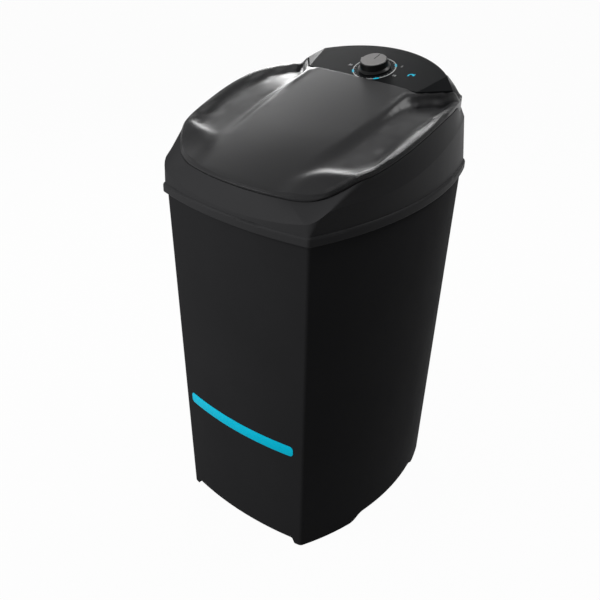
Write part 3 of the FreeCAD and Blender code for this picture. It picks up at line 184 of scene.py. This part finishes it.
class Finish:
    """One node material while it is being made."""

    def __init__(self, name):
        self.material = bpy.data.materials.new(name)
        self.material.use_nodes = True
        self.tree = self.material.node_tree
        self.shader = self.tree.nodes["Principled BSDF"]
        self.place = self.node("ShaderNodeTexCoord").outputs["Object"]

    def node(self, kind, **settings):
        made = self.tree.nodes.new(kind)
        for key, value in settings.items():
            setattr(made, key, value)
        return made

    def feed(self, socket, value):
        if isinstance(value, bpy.types.NodeSocket):
            self.tree.links.new(value, socket)
        else:
            socket.default_value = value

    def set(self, **values):
        for name, value in values.items():
            self.feed(self.shader.inputs[name.replace("_", " ").title().replace("Ior", "IOR")], value)

    def stretched(self, *scale):
        mapping = self.node("ShaderNodeMapping")
        self.feed(mapping.inputs["Vector"], self.place)
        mapping.inputs["Scale"].default_value = scale
        return mapping.outputs["Vector"]

    def noise(self, scale, detail=3.0, rough=0.5, place=None):
        made = self.node("ShaderNodeTexNoise")
        self.feed(made.inputs["Vector"], place or self.place)
        made.inputs["Scale"].default_value = scale
        made.inputs["Detail"].default_value = detail
        made.inputs["Roughness"].default_value = rough
        return made.outputs["Fac"]

    def bands(self, scale, direction, wobble=0.0):
        made = self.node("ShaderNodeTexWave", bands_direction=direction)
        self.feed(made.inputs["Vector"], self.place)
        made.inputs["Scale"].default_value = scale
        made.inputs["Distortion"].default_value = wobble
        return made.outputs["Fac"]

    def spread(self, source, low, high, start=0.3, end=0.7):
        made = self.node("ShaderNodeMapRange")
        self.feed(made.inputs["Value"], source)
        made.inputs["From Min"].default_value = start
        made.inputs["From Max"].default_value = end
        made.inputs["To Min"].default_value = low
        made.inputs["To Max"].default_value = high
        return made.outputs["Result"]

    def times(self, first, second):
        made = self.node("ShaderNodeMath", operation="MULTIPLY")
        self.feed(made.inputs[0], first)
        self.feed(made.inputs[1], second)
        return made.outputs["Value"]

    def blend(self, share, first, second):
        made = self.node("ShaderNodeMix", data_type="RGBA")
        self.feed(made.inputs[0], share)
        self.feed(made.inputs[6], first)
        self.feed(made.inputs[7], second)
        return made.outputs[2]

    def parts(self):
        """Separate X, Y and Z of the place."""
        split = self.node("ShaderNodeSeparateXYZ")
        self.feed(split.inputs[0], self.place)
        return split.outputs

    def upward(self):
        """Share of a face that looks up."""
        split = self.node("ShaderNodeSeparateXYZ")
        self.feed(split.inputs[0], self.node("ShaderNodeNewGeometry").outputs["Normal"])
        return self.spread(split.outputs["Z"], 0.0, 1.0, 0.2, 1.0)

    def relief(self, height, strength, distance, edge=0.0):
        made = self.node("ShaderNodeBump")
        made.inputs["Strength"].default_value = strength
        made.inputs["Distance"].default_value = distance
        self.feed(made.inputs["Height"], height)
        if edge:
            rounded = self.node("ShaderNodeBevel", samples=6)
            self.feed(rounded.inputs["Radius"], edge)
            self.feed(made.inputs["Normal"], rounded.outputs["Normal"])
        self.feed(self.shader.inputs["Normal"], made.outputs["Normal"])


def shaded(base, factor):
    return tuple(min(1.0, part * factor) for part in base[:3]) + (1.0,)


def moulded(name, base, roughness, grain=1500.0, depth=0.12, specular=0.3, edge=0.0007, side=None):
    """Moulded plastic: fine grain, slow shifts of tone and gloss, and a second colour for steep faces."""
    finish = Finish(name)
    patches = finish.noise(5.0, 4.0, 0.55)
    tint = finish.blend(finish.spread(patches, 0.0, 1.0), shaded(base, 0.95), shaded(base, 1.05))
    if side:
        tint = finish.blend(finish.spread(finish.upward(), 0.0, 1.0, 0.6, 0.8), shaded(side, 1.0), tint)
    smears = finish.noise(26.0, 6.0, 0.6, finish.stretched(1.0, 1.0, 0.45))
    finish.set(base_color=tint, roughness=finish.spread(smears, roughness * 0.94, roughness * 1.06),
               specular_ior_level=specular)
    finish.relief(finish.noise(grain, 2.0), depth, 0.0004, edge)
    return finish.material


def flank_softness(finish, crisp=0.0012, soft=0.018):
    """Rounding of the lid's sheen: broad along both flanks, crisp at the front and behind the middle."""
    low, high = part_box("lid_cover")
    place = finish.parts()
    aside = finish.node("ShaderNodeMath", operation="ABSOLUTE")
    finish.feed(aside.inputs[0], place["X"])
    flank = finish.spread(aside.outputs["Value"], 0.0, 1.0, high.x * 0.5, high.x * 0.66)
    inside = finish.spread(place["Y"], 0.0, 1.0, low.y + 0.035, low.y + 0.06)
    return finish.spread(finish.times(flank, inside), crisp, soft, 0.0, 1.0)


def gloss(name, base, roughness=0.3, specular=0.12):
    """Glossy smoke plastic: a faint orange peel, slow shifts of gloss and fine specks of dust."""
    finish = Finish(name)
    patches = finish.noise(3.0, 2.0, 0.4)
    tint = finish.blend(patches, shaded(base, 0.94), shaded(base, 1.06))
    specks = finish.times(finish.upward(), finish.spread(finish.noise(1400.0, 2.0), 0.0, 0.2, 0.7, 0.8))
    tint = finish.blend(specks, tint, (0.2, 0.2, 0.2, 1.0))
    wear = finish.noise(7.0, 2.0, 0.4)
    finish.set(base_color=tint, roughness=finish.spread(wear, roughness * 0.96, roughness * 1.04, 0.0, 1.0),
               specular_ior_level=specular)
    finish.relief(finish.noise(60.0, 1.0), 0.02, 0.0004, flank_softness(finish))
    return finish.material


def metal(name, base, roughness, lines=(60.0, 60.0, 1400.0), depth=0.15):
    """Turned or drawn metal: fine lines, stained patches and a soft sheen."""
    finish = Finish(name)
    streaks = finish.noise(1.0, 4.0, 0.6, finish.stretched(*lines))
    stains = finish.noise(45.0, 5.0, 0.6)
    tint = finish.blend(finish.spread(stains, 0.0, 1.0), shaded(base, 0.78), shaded(base, 1.06))
    finish.set(base_color=tint, metallic=1.0,
               roughness=finish.spread(streaks, roughness * 0.75, roughness * 1.3))
    finish.relief(streaks, depth, 0.0003, 0.0004)
    return finish.material


def cast(name, base):
    """Cast metal with an open grain."""
    finish = Finish(name)
    grain = finish.noise(420.0, 5.0, 0.6)
    stains = finish.spread(finish.noise(30.0, 4.0), 0.0, 1.0)
    tint = finish.blend(stains, shaded(base, 0.72), shaded(base, 1.0))
    finish.set(base_color=tint, metallic=0.9, roughness=finish.spread(grain, 0.42, 0.62))
    finish.relief(grain, 0.35, 0.0005, 0.0006)
    return finish.material


def laminated(name, base):
    """Stacked iron sheets, seen as fine level lines."""
    finish = Finish(name)
    sheets = finish.bands(430.0, "Z")
    tint = finish.blend(sheets, shaded(base, 0.55), shaded(base, 1.0))
    finish.set(base_color=tint, metallic=0.8, roughness=finish.spread(finish.noise(80.0, 4.0), 0.4, 0.6))
    finish.relief(sheets, 0.3, 0.0002)
    return finish.material


def painted(name, base):
    """Painted sheet steel with a light orange peel and rubbed patches."""
    finish = Finish(name)
    rubbed = finish.spread(finish.noise(38.0, 7.0, 0.7), 0.0, 0.55, 0.56, 0.74)
    tint = finish.blend(rubbed, shaded(base, 1.0), shaded(base, 1.7))
    finish.set(base_color=tint, metallic=0.15, roughness=finish.spread(finish.noise(20.0, 5.0), 0.36, 0.5))
    finish.relief(finish.noise(260.0, 2.0), 0.12, 0.0005, 0.0005)
    return finish.material


def rubber(name, base):
    """Soft rubber with a dull bloom."""
    finish = Finish(name)
    bloom = finish.noise(55.0, 6.0, 0.65)
    tint = finish.blend(finish.spread(bloom, 0.0, 1.0), shaded(base, 0.8), shaded(base, 1.7))
    finish.set(base_color=tint, roughness=finish.spread(bloom, 0.6, 0.82), specular_ior_level=0.25)
    finish.relief(finish.noise(1900.0, 2.0), 0.2, 0.0003)
    return finish.material


def film(name, base):
    """Coloured film under a clear face, a little darker towards its lower edge."""
    finish = Finish(name)
    low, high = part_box("accent_strip")
    rise = finish.spread(finish.parts()["Z"], 0.0, 1.0, low.z, high.z)
    body = finish.blend(rise, shaded(base, 0.88), shaded(base, 1.06))
    tint = finish.blend(finish.spread(finish.noise(70.0, 4.0), 0.0, 0.12), body, (0.0, 0.28, 0.36, 1.0))
    finish.set(base_color=tint, roughness=finish.spread(finish.noise(90.0, 4.0), 0.28, 0.4),
               specular_ior_level=0.04)
    finish.relief(finish.noise(700.0, 2.0), 0.05, 0.0003)
    return finish.material


def ink(name, base):
    """Screen-printed ink, slightly uneven."""
    finish = Finish(name)
    grain = finish.noise(1300.0, 3.0)
    tint = finish.blend(finish.spread(grain, 0.0, 1.0), shaded(base, 0.85), shaded(base, 1.05))
    finish.set(base_color=tint, roughness=finish.spread(grain, 0.45, 0.6), specular_ior_level=0.25)
    finish.relief(grain, 0.1, 0.0001)
    return finish.material


def netting(name, base):
    """Fine crossed threads."""
    finish = Finish(name)
    threads = finish.times(finish.bands(340.0, "X", 0.4), finish.bands(340.0, "Z", 0.4))
    tint = finish.blend(threads, shaded(base, 0.45), shaded(base, 1.05))
    finish.set(base_color=tint, roughness=finish.spread(threads, 0.7, 0.5))
    finish.relief(threads, 0.6, 0.0004)
    return finish.material


def dress(material, *nodes):
    for node in nodes:
        mesh = NODES[node].data
        mesh.materials.clear()
        mesh.materials.append(material)


def ray_tree(node):
    mesh = NODES[node].data
    return BVHTree.FromPolygons([v.co for v in mesh.vertices], [p.vertices for p in mesh.polygons])


def touch(node, start, heading):
    """Point and outward normal where a straight line first meets a node."""
    point, normal, _, _ = ray_tree(node).ray_cast(Vector(start), Vector(heading).normalized())
    if point is None:
        raise RuntimeError(f"no face of {node} lies ahead of {tuple(start)}")
    if normal.dot(heading) > 0:
        normal = -normal
    return point, normal


def standing(point, normal):
    """Matrix whose Z axis is the given normal, at the given point."""
    turn = Vector(normal).to_track_quat("Z", "Y").to_matrix().to_4x4()
    return Matrix.Translation(point) @ turn


def circle(bm, matrix, radius, height, count, phase=0.0):
    ring = []
    for i in range(count):
        turn = phase + 2 * math.pi * i / count
        ring.append(bm.verts.new(matrix @ Vector((radius * math.cos(turn), radius * math.sin(turn), height))))
    return ring


def bridge(bm, lower, upper):
    count = len(lower)
    for i in range(count):
        bm.faces.new((lower[i], lower[(i + 1) % count], upper[(i + 1) % count], upper[i]))


def closed_edges(bm, ring):
    edges = []
    for i, vertex in enumerate(ring):
        pair = (vertex, ring[(i + 1) % len(ring)])
        edges.append(bm.edges.get(pair) or bm.edges.new(pair))
    return edges


def screw_head(bm, matrix, radius, height):
    """Domed head with a tapered cross recess."""
    profile = [(1.0, -0.2), (1.0, 0.35), (0.96, 0.6), (0.84, 0.83), (0.7, 0.95), (0.62, 1.0)]
    rings = [circle(bm, matrix, radius * r, height * h, 24) for r, h in profile]
    for lower, upper in zip(rings, rings[1:]):
        bridge(bm, lower, upper)
    long, wide = radius * 0.5, radius * 0.13
    outline = [(long, -wide), (long, wide), (wide, wide), (wide, long), (-wide, long), (-wide, wide),
               (-long, wide), (-long, -wide), (-wide, -wide), (-wide, -long), (wide, -long), (wide, -wide)]
    mouth = [bm.verts.new(matrix @ Vector((x, y, height))) for x, y in outline]
    pit = [bm.verts.new(matrix @ Vector((x * 0.6, y * 0.6, height * 0.25))) for x, y in outline]
    bridge(bm, mouth, pit)
    bm.faces.new(pit)
    bmesh.ops.triangle_fill(bm, use_beauty=True, edges=closed_edges(bm, rings[-1]) + closed_edges(bm, mouth))


def bolt_head(bm, matrix, radius, height):
    """Hexagon head with a chamfered crown on a round washer."""
    washer = [circle(bm, matrix, radius * r, radius * h, 24) for r, h in
              ((1.35, -0.1), (1.35, 0.1), (1.28, 0.18), (0.9, 0.18))]
    for lower, upper in zip(washer, washer[1:]):
        bridge(bm, lower, upper)
    base = radius * 0.16
    hexagon = [circle(bm, matrix, radius * r, base + height * h, 6) for r, h in
               ((1.0, 0.0), (1.0, 0.82), (0.84, 1.0))]
    for lower, upper in zip(hexagon, hexagon[1:]):
        bridge(bm, lower, upper)
    bm.faces.new(hexagon[-1])


def piece(name, bm, body, material, crease=35.0):
    """Object from a bmesh, riding on a body."""
    bmesh.ops.recalc_face_normals(bm, faces=bm.faces)
    mesh = bpy.data.meshes.new(name)
    bm.to_mesh(mesh)
    bm.free()
    for face in mesh.polygons:
        face.use_smooth = True
    mesh.set_sharp_from_angle(angle=math.radians(crease))
    mesh.materials.append(material)
    made = bpy.data.objects.new(name, mesh)
    bpy.context.scene.collection.objects.link(made)
    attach(made, body)
    return made


class DialFace:
    """Flat frame on the panel round the knob: right, up the slope, and off the face."""

    def __init__(self, node="control_panel"):
        joint = JOINTS["knob_turn"]
        self.off = Vector(joint["axis"]).normalized()
        self.right = Vector((1.0, 0.0, 0.0))
        self.up = self.off.cross(self.right)
        self.tree = ray_tree(node)
        self.middle = Vector(joint["pos_m"])

    def at(self, x, y, lift):
        start = self.middle + self.right * x + self.up * y + self.off * 0.05
        point, _, _, _ = self.tree.ray_cast(start, -self.off)
        if point is None:
            raise RuntimeError(f"the print at {x:.4f}, {y:.4f} runs off the panel")
        return point + self.off * lift

    def round(self, radius, turn):
        """Place at a radius, with the turn taken clockwise from the top."""
        return radius * math.sin(turn), radius * math.cos(turn)


def band(bm, face, points, thickness):
    """Raised strip of ink between two rows of points."""
    low, high = -thickness * 0.4, thickness
    rows = []
    for inner, outer in points:
        rows.append([bm.verts.new(face.at(*spot, lift)) for spot, lift in
                     ((inner, low), (inner, high), (outer, high), (outer, low))])
    for before, after in zip(rows, rows[1:]):
        for i in range(3):
            bm.faces.new((before[i], before[i + 1], after[i + 1], after[i]))
    if points[0] != points[-1]:
        bm.faces.new(rows[0])
        bm.faces.new(rows[-1])


def arc(bm, face, radius, width, start, end, thickness):
    """Raised arc of ink round the knob."""
    half = width / 2
    count = max(3, int(abs(end - start) / math.radians(4.0)))
    points = []
    for i in range(count + 1):
        turn = start + (end - start) * (i / count)
        points.append((face.round(radius - half, turn), face.round(radius + half, turn)))
    band(bm, face, points, thickness)


def numeral(bm, face, text, size, x, y, thickness):
    """Plain numeral as raised ink, centred on a place of the dial."""
    letters = bpy.data.curves.new("numeral", "FONT")
    letters.body = text
    letters.size = size
    letters.align_x = "CENTER"
    letters.align_y = "CENTER"
    letters.resolution_u = 3
    letters.extrude = thickness
    holder = bpy.data.objects.new("numeral", letters)
    mesh = bpy.data.meshes.new_from_object(holder)
    first = len(bm.verts)
    bm.from_mesh(mesh)
    bm.verts.ensure_lookup_table()
    for vertex in bm.verts[first:]:
        spot = vertex.co.copy()
        vertex.co = face.at(x + spot.x, y + spot.y, spot.z * 0.6 + thickness * 0.4)
    bpy.data.objects.remove(holder)
    bpy.data.curves.remove(letters)
    bpy.data.meshes.remove(mesh)


class WASHER_OT_cabinet(Operator):
    """Finish the cabinet, its pads, its service cover and the teal strip"""
    bl_idname = "washer.cabinet"
    bl_label = "Cabinet"

    def execute(self, context):
        colours = context.scene.washer_colours
        dress(moulded("cabinet_moulding", colours.cabinet, 0.52, 1300.0, 0.2, 0.003), "cabinet_shell")
        dress(moulded("service_cover", colours.cabinet, 0.58, 1300.0, 0.2, 0.01), "rear_cover", "cord_gland")
        dress(rubber("pad_rubber", colours.rubber), "foot_pads", "lid_buffers")
        dress(film("accent_film", colours.accent), "accent_strip")
        return {"FINISHED"}


class WASHER_OT_collar(Operator):
    """Finish the collar and its hinge brackets"""
    bl_idname = "washer.collar"
    bl_label = "Collar"

    def execute(self, context):
        colours = context.scene.washer_colours
        dress(moulded("collar_satin", colours.collar, 0.36, 900.0, 0.07, 0.012, 0.0009), "top_collar")
        dress(moulded("hinge_moulding", colours.collar, 0.45), "hinge_brackets")
        dress(metal("pin_steel", colours.steel, 0.28), "hinge_pins")
        return {"FINISHED"}


class WASHER_OT_lid(Operator):
    """Finish the lid"""
    bl_idname = "washer.lid"
    bl_label = "Lid"

    def execute(self, context):
        dress(gloss("lid_smoke", context.scene.washer_colours.lid), "lid_cover")
        return {"FINISHED"}


class WASHER_OT_controls(Operator):
    """Finish the panel, the console and the knob, and print the dial"""
    bl_idname = "washer.controls"
    bl_label = "Controls"

    def execute(self, context):
        colours = context.scene.washer_colours
        sizes = context.scene.washer_print
        dress(moulded("panel_satin", colours.panel, 0.4, 1800.0, 0.05, 0.02), "control_panel")
        dress(moulded("console_moulding", colours.panel, 0.5), "console_housing", "timer_body")
        dress(moulded("knob_moulding", colours.knob, 0.3, 1500.0, 0.05, 0.12), "timer_knob")
        dress(moulded("knob_disc", colours.knob_top, 0.32, 2000.0, 0.04, 0.12, side=colours.knob), "knob_cap")
        dress(metal("timer_steel", colours.steel, 0.3), "timer_shaft")
        self.print_dial(sizes, ink("pale_ink", colours.marks), ink("teal_ink", colours.accent))
        self.print_pointer(sizes, ink("dark_ink", colours.knob))
        return {"FINISHED"}

    def print_dial(self, sizes, pale, teal):
        face = DialFace()
        thick = sizes.thickness
        bm = bmesh.new()
        arc(bm, face, sizes.ring_radius, sizes.ring_width, 0.0, 2 * math.pi, thick)
        for i in range(sizes.steps):
            turn = 2 * math.pi * i / sizes.steps
            arc(bm, face, sizes.ring_radius - sizes.ring_width * 1.6, sizes.ring_width * 1.4,
                turn - TICK_HALF_TURN, turn + TICK_HALF_TURN, thick)
        for text, degrees in NUMERALS:
            x, y = face.round(sizes.numeral_radius, math.radians(degrees))
            numeral(bm, face, text, sizes.numeral_size, x, y, thick)
        piece("dial_ring", bm, "cabinet", pale)
        bm = bmesh.new()
        for degrees in MARK_TURNS:
            turn = math.radians(degrees)
            arc(bm, face, sizes.ring_radius, sizes.mark_width, turn - MARK_HALF_TURN, turn + MARK_HALF_TURN,
                thick * 1.4)
        self.print_arrow(bm, face, sizes, thick)
        piece("dial_marks", bm, "cabinet", teal)

    def print_pointer(self, sizes, dark):
        face = DialFace("knob_cap")
        half = sizes.pointer_width / 2
        ends = (sizes.pointer_start, sizes.pointer_end)
        bm = bmesh.new()
        band(bm, face, [((-half, y), (half, y)) for y in ends], sizes.thickness)
        piece("knob_pointer", bm, "knob", dark)

    def print_arrow(self, bm, face, sizes, thick):
        """Curved arrow for the way the knob turns."""
        x, y = face.round(sizes.arrow_place, math.radians(ARROW_TURN))
        radius, half = sizes.arrow_size, sizes.mark_width * 0.33

        def at(reach, degrees):
            right, up = face.round(reach, math.radians(degrees))
            return x + right, y + up

        turns = [ARROW_START + ARROW_STEP * i for i in range(ARROW_STEPS)]
        band(bm, face, [(at(radius - half, turn), at(radius + half, turn)) for turn in turns], thick)
        tip, wide = at(radius, turns[-1] + ARROW_HEAD), half * 3.4
        band(bm, face, [(at(radius - wide, turns[-1]), at(radius + wide, turns[-1])),
                        (tip, (tip[0] + 1e-5, tip[1]))], thick)


class WASHER_OT_tub(Operator):
    """Finish the tub, the agitator, the filter and the drain fittings"""
    bl_idname = "washer.tub"
    bl_label = "Tub"

    def execute(self, context):
        colours = context.scene.washer_colours
        dress(moulded("tub_plastic", colours.tub, 0.34, 700.0, 0.05, 0.4), "wash_tub")
        dress(moulded("agitator_plastic", colours.agitator, 0.3, 900.0, 0.04, 0.45),
              "agitator", "agitator_cap", "filter_frame", "drain_grille")
        dress(netting("lint_net", colours.net), "filter_mesh")
        dress(moulded("pipe_plastic", colours.pipe, 0.42), "drain_pipe", "drain_spigot")
        return {"FINISHED"}


class WASHER_OT_drive(Operator):
    """Finish the bearing, the belt drive, the motor and the wiring"""
    bl_idname = "washer.drive"
    bl_label = "Drive"

    def execute(self, context):
        colours = context.scene.washer_colours
        dress(metal("shaft_steel", colours.steel, 0.24), "drive_shaft", "motor_shaft", "pulley_nut")
        dress(metal("bush_bronze", colours.bronze, 0.36), "upper_bush", "lower_bush")
        dress(cast("cast_aluminium", colours.aluminium), "bearing_housing", "driven_pulley", "motor_pulley",
              "motor_lower_cap", "motor_upper_cap")
        dress(painted("bracket_paint", colours.bracket), "motor_bracket", "motor_can", "capacitor_clip")
        dress(laminated("motor_iron", colours.iron), "motor_stator", "motor_rotor")
        dress(rubber("drive_rubber", colours.rubber), "drive_belt", "shaft_seal", "motor_grommets")
        dress(moulded("capacitor_sleeve", colours.capacitor, 0.4), "capacitor")
        dress(rubber("loom_sleeve", colours.cable), "wiring_loom")
        return {"FINISHED"}


class WASHER_OT_fixings(Operator):
    """Screws of the service cover and bolts of the bearing flange"""
    bl_idname = "washer.fixings"
    bl_label = "Fixings"

    def execute(self, context):
        sizes = context.scene.washer_fixings
        steel = metal("screw_steel", context.scene.washer_colours.steel, 0.34, (500.0, 500.0, 500.0))
        self.cover_screws(sizes, steel)
        self.flange_bolts(sizes, steel)
        return {"FINISHED"}

    def cover_screws(self, sizes, steel):
        low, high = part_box("rear_cover")
        inset = sizes.screw_radius * 1.5
        behind = CAD_BOX[1][1] + 0.1
        bm = bmesh.new()
        for x in (low.x + inset, high.x - inset):
            for share in (0.06, 0.5, 0.94):
                z = low.z + (high.z - low.z) * share
                point, normal = touch("rear_cover", (x, behind, z), (0.0, -1.0, 0.0))
                screw_head(bm, standing(point, normal), sizes.screw_radius, sizes.screw_height)
        piece("cover_screws", bm, "cabinet", steel)

    def flange_bolts(self, sizes, steel):
        low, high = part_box("bearing_housing")
        middle = (low + high) / 2
        radius = (high.x - low.x) / 2 * 0.84
        bm = bmesh.new()
        for i in range(6):
            turn = math.radians(60.0 * i + 30.0)
            start = (middle.x + radius * math.cos(turn), middle.y + radius * math.sin(turn), low.z - 0.05)
            point, normal = touch("bearing_housing", start, (0.0, 0.0, 1.0))
            bolt_head(bm, standing(point, normal), sizes.bolt_radius, sizes.bolt_height)
        piece("flange_bolts", bm, "cabinet", steel)


class WASHER_OT_stage(Operator):
    """Floor, lights, background and camera"""
    bl_idname = "washer.stage"
    bl_label = "Stage"

    def execute(self, context):
        stage = context.scene.washer_stage
        self.background(context.scene, stage.ambient)
        self.floor(stage.floor_radius)
        for name, place, size in LAMPS:
            self.lamp(name, place, size, getattr(stage, name))
        self.camera(context.scene, stage)
        context.scene.view_settings.view_transform = "Standard"
        return {"FINISHED"}

    def seen(self, tree):
        """1 for rays that show the background: straight, mirrored or through clear stuff."""
        path = tree.nodes.new("ShaderNodeLightPath")
        total = path.outputs["Is Camera Ray"]
        for name in ("Is Glossy Ray", "Is Transmission Ray"):
            most = tree.nodes.new("ShaderNodeMath")
            most.operation = "MAXIMUM"
            tree.links.new(total, most.inputs[0])
            tree.links.new(path.outputs[name], most.inputs[1])
            total = most.outputs["Value"]
        return total

    def background(self, scene, ambient):
        world = bpy.data.worlds.new("studio")
        world.use_nodes = True
        tree = world.node_tree
        light = tree.nodes["Background"]
        light.inputs["Color"].default_value = (1.0, 1.0, 1.0, 1.0)
        light.inputs["Strength"].default_value = ambient
        white = tree.nodes.new("ShaderNodeBackground")
        white.inputs["Color"].default_value = (1.0, 1.0, 1.0, 1.0)
        mix = tree.nodes.new("ShaderNodeMixShader")
        tree.links.new(self.seen(tree), mix.inputs["Fac"])
        tree.links.new(light.outputs["Background"], mix.inputs[1])
        tree.links.new(white.outputs["Background"], mix.inputs[2])
        tree.links.new(mix.outputs["Shader"], tree.nodes["World Output"].inputs["Surface"])
        scene.world = world

    def floor(self, radius):
        bm = bmesh.new()
        bmesh.ops.create_circle(bm, cap_ends=True, segments=96, radius=radius)
        mesh = bpy.data.meshes.new("floor")
        bm.to_mesh(mesh)
        bm.free()
        floor = bpy.data.objects.new("floor", mesh)
        bpy.context.scene.collection.objects.link(floor)
        finish = Finish("pale_floor")
        tint = finish.blend(finish.noise(2.0), FLOOR_DARK, FLOOR_LIGHT)
        finish.set(base_color=tint, roughness=0.9, specular_ior_level=0.1)
        tree = finish.tree
        glow = finish.node("ShaderNodeEmission")
        glow.inputs["Strength"].default_value = FLOOR_GLOW
        mix = finish.node("ShaderNodeMixShader")
        tree.links.new(finish.times(self.seen(tree), FLOOR_WHITE_SHARE), mix.inputs["Fac"])
        tree.links.new(finish.shader.outputs["BSDF"], mix.inputs[1])
        tree.links.new(glow.outputs["Emission"], mix.inputs[2])
        tree.links.new(mix.outputs["Shader"], tree.nodes["Material Output"].inputs["Surface"])
        mesh.materials.append(finish.material)

    def lamp(self, name, place, size, power):
        data = bpy.data.lights.new(name, "AREA")
        data.shape = "DISK"
        data.size = size
        data.energy = power
        lamp = bpy.data.objects.new(name, data)
        bpy.context.scene.collection.objects.link(lamp)
        aim = LAMP_TARGET - Vector(place)
        lamp.matrix_world = Matrix.Translation(place) @ aim.to_track_quat("-Z", "Y").to_matrix().to_4x4()

    def camera(self, scene, stage):
        turn, rise, lean = stage.azimuth, stage.elevation, stage.roll
        back = Vector((math.sin(turn) * math.cos(rise), -math.cos(turn) * math.cos(rise), math.sin(rise)))
        right = Vector((math.cos(turn), math.sin(turn), 0.0))
        up = back.cross(right)
        leant_right = right * math.cos(lean) + up * math.sin(lean)
        leant_up = up * math.cos(lean) - right * math.sin(lean)
        data = bpy.data.cameras.new("camera")
        data.lens = stage.lens
        data.sensor_width = 36.0
        data.clip_end = 100.0
        camera = bpy.data.objects.new("camera", data)
        scene.collection.objects.link(camera)
        basis = Matrix((leant_right, leant_up, back)).transposed().to_4x4()
        camera.matrix_world = Matrix.Translation(Vector(stage.target) + back * stage.distance) @ basis
        scene.camera = camera


GROUPS = {
    "washer_colours": WasherColours,
    "washer_print": WasherPrint,
    "washer_fixings": WasherFixings,
    "washer_stage": WasherStage,
}
OPERATORS = (WASHER_OT_cabinet, WASHER_OT_collar, WASHER_OT_lid, WASHER_OT_controls, WASHER_OT_tub,
             WASHER_OT_drive, WASHER_OT_fixings, WASHER_OT_stage)


class WASHER_PT_dress(Panel):
    """Sizes and colours of the dress, and the operators that make it"""
    bl_idname = "WASHER_PT_dress"
    bl_label = "Washing machine"
    bl_space_type = "VIEW_3D"
    bl_region_type = "UI"
    bl_category = "Washer"

    def draw(self, context):
        for operator in OPERATORS:
            self.layout.operator(operator.bl_idname)
        for name, group in GROUPS.items():
            box = self.layout.box()
            box.label(text=group.__doc__)
            for key in group.__annotations__:
                box.prop(getattr(context.scene, name), key)


CLASSES = (*GROUPS.values(), *OPERATORS, WASHER_PT_dress)


def register():
    for made in CLASSES:
        bpy.utils.register_class(made)
    for name, group in GROUPS.items():
        setattr(bpy.types.Scene, name, PointerProperty(type=group))


def unregister():
    for name in GROUPS:
        delattr(bpy.types.Scene, name)
    for made in reversed(CLASSES):
        bpy.utils.unregister_class(made)


def main():
    register()
    bpy.ops.washer.cabinet()
    bpy.ops.washer.collar()
    bpy.ops.washer.lid()
    bpy.ops.washer.controls()
    bpy.ops.washer.tub()
    bpy.ops.washer.drive()
    bpy.ops.washer.fixings()
    bpy.ops.washer.stage()


if __name__ == "__main__":
    main()
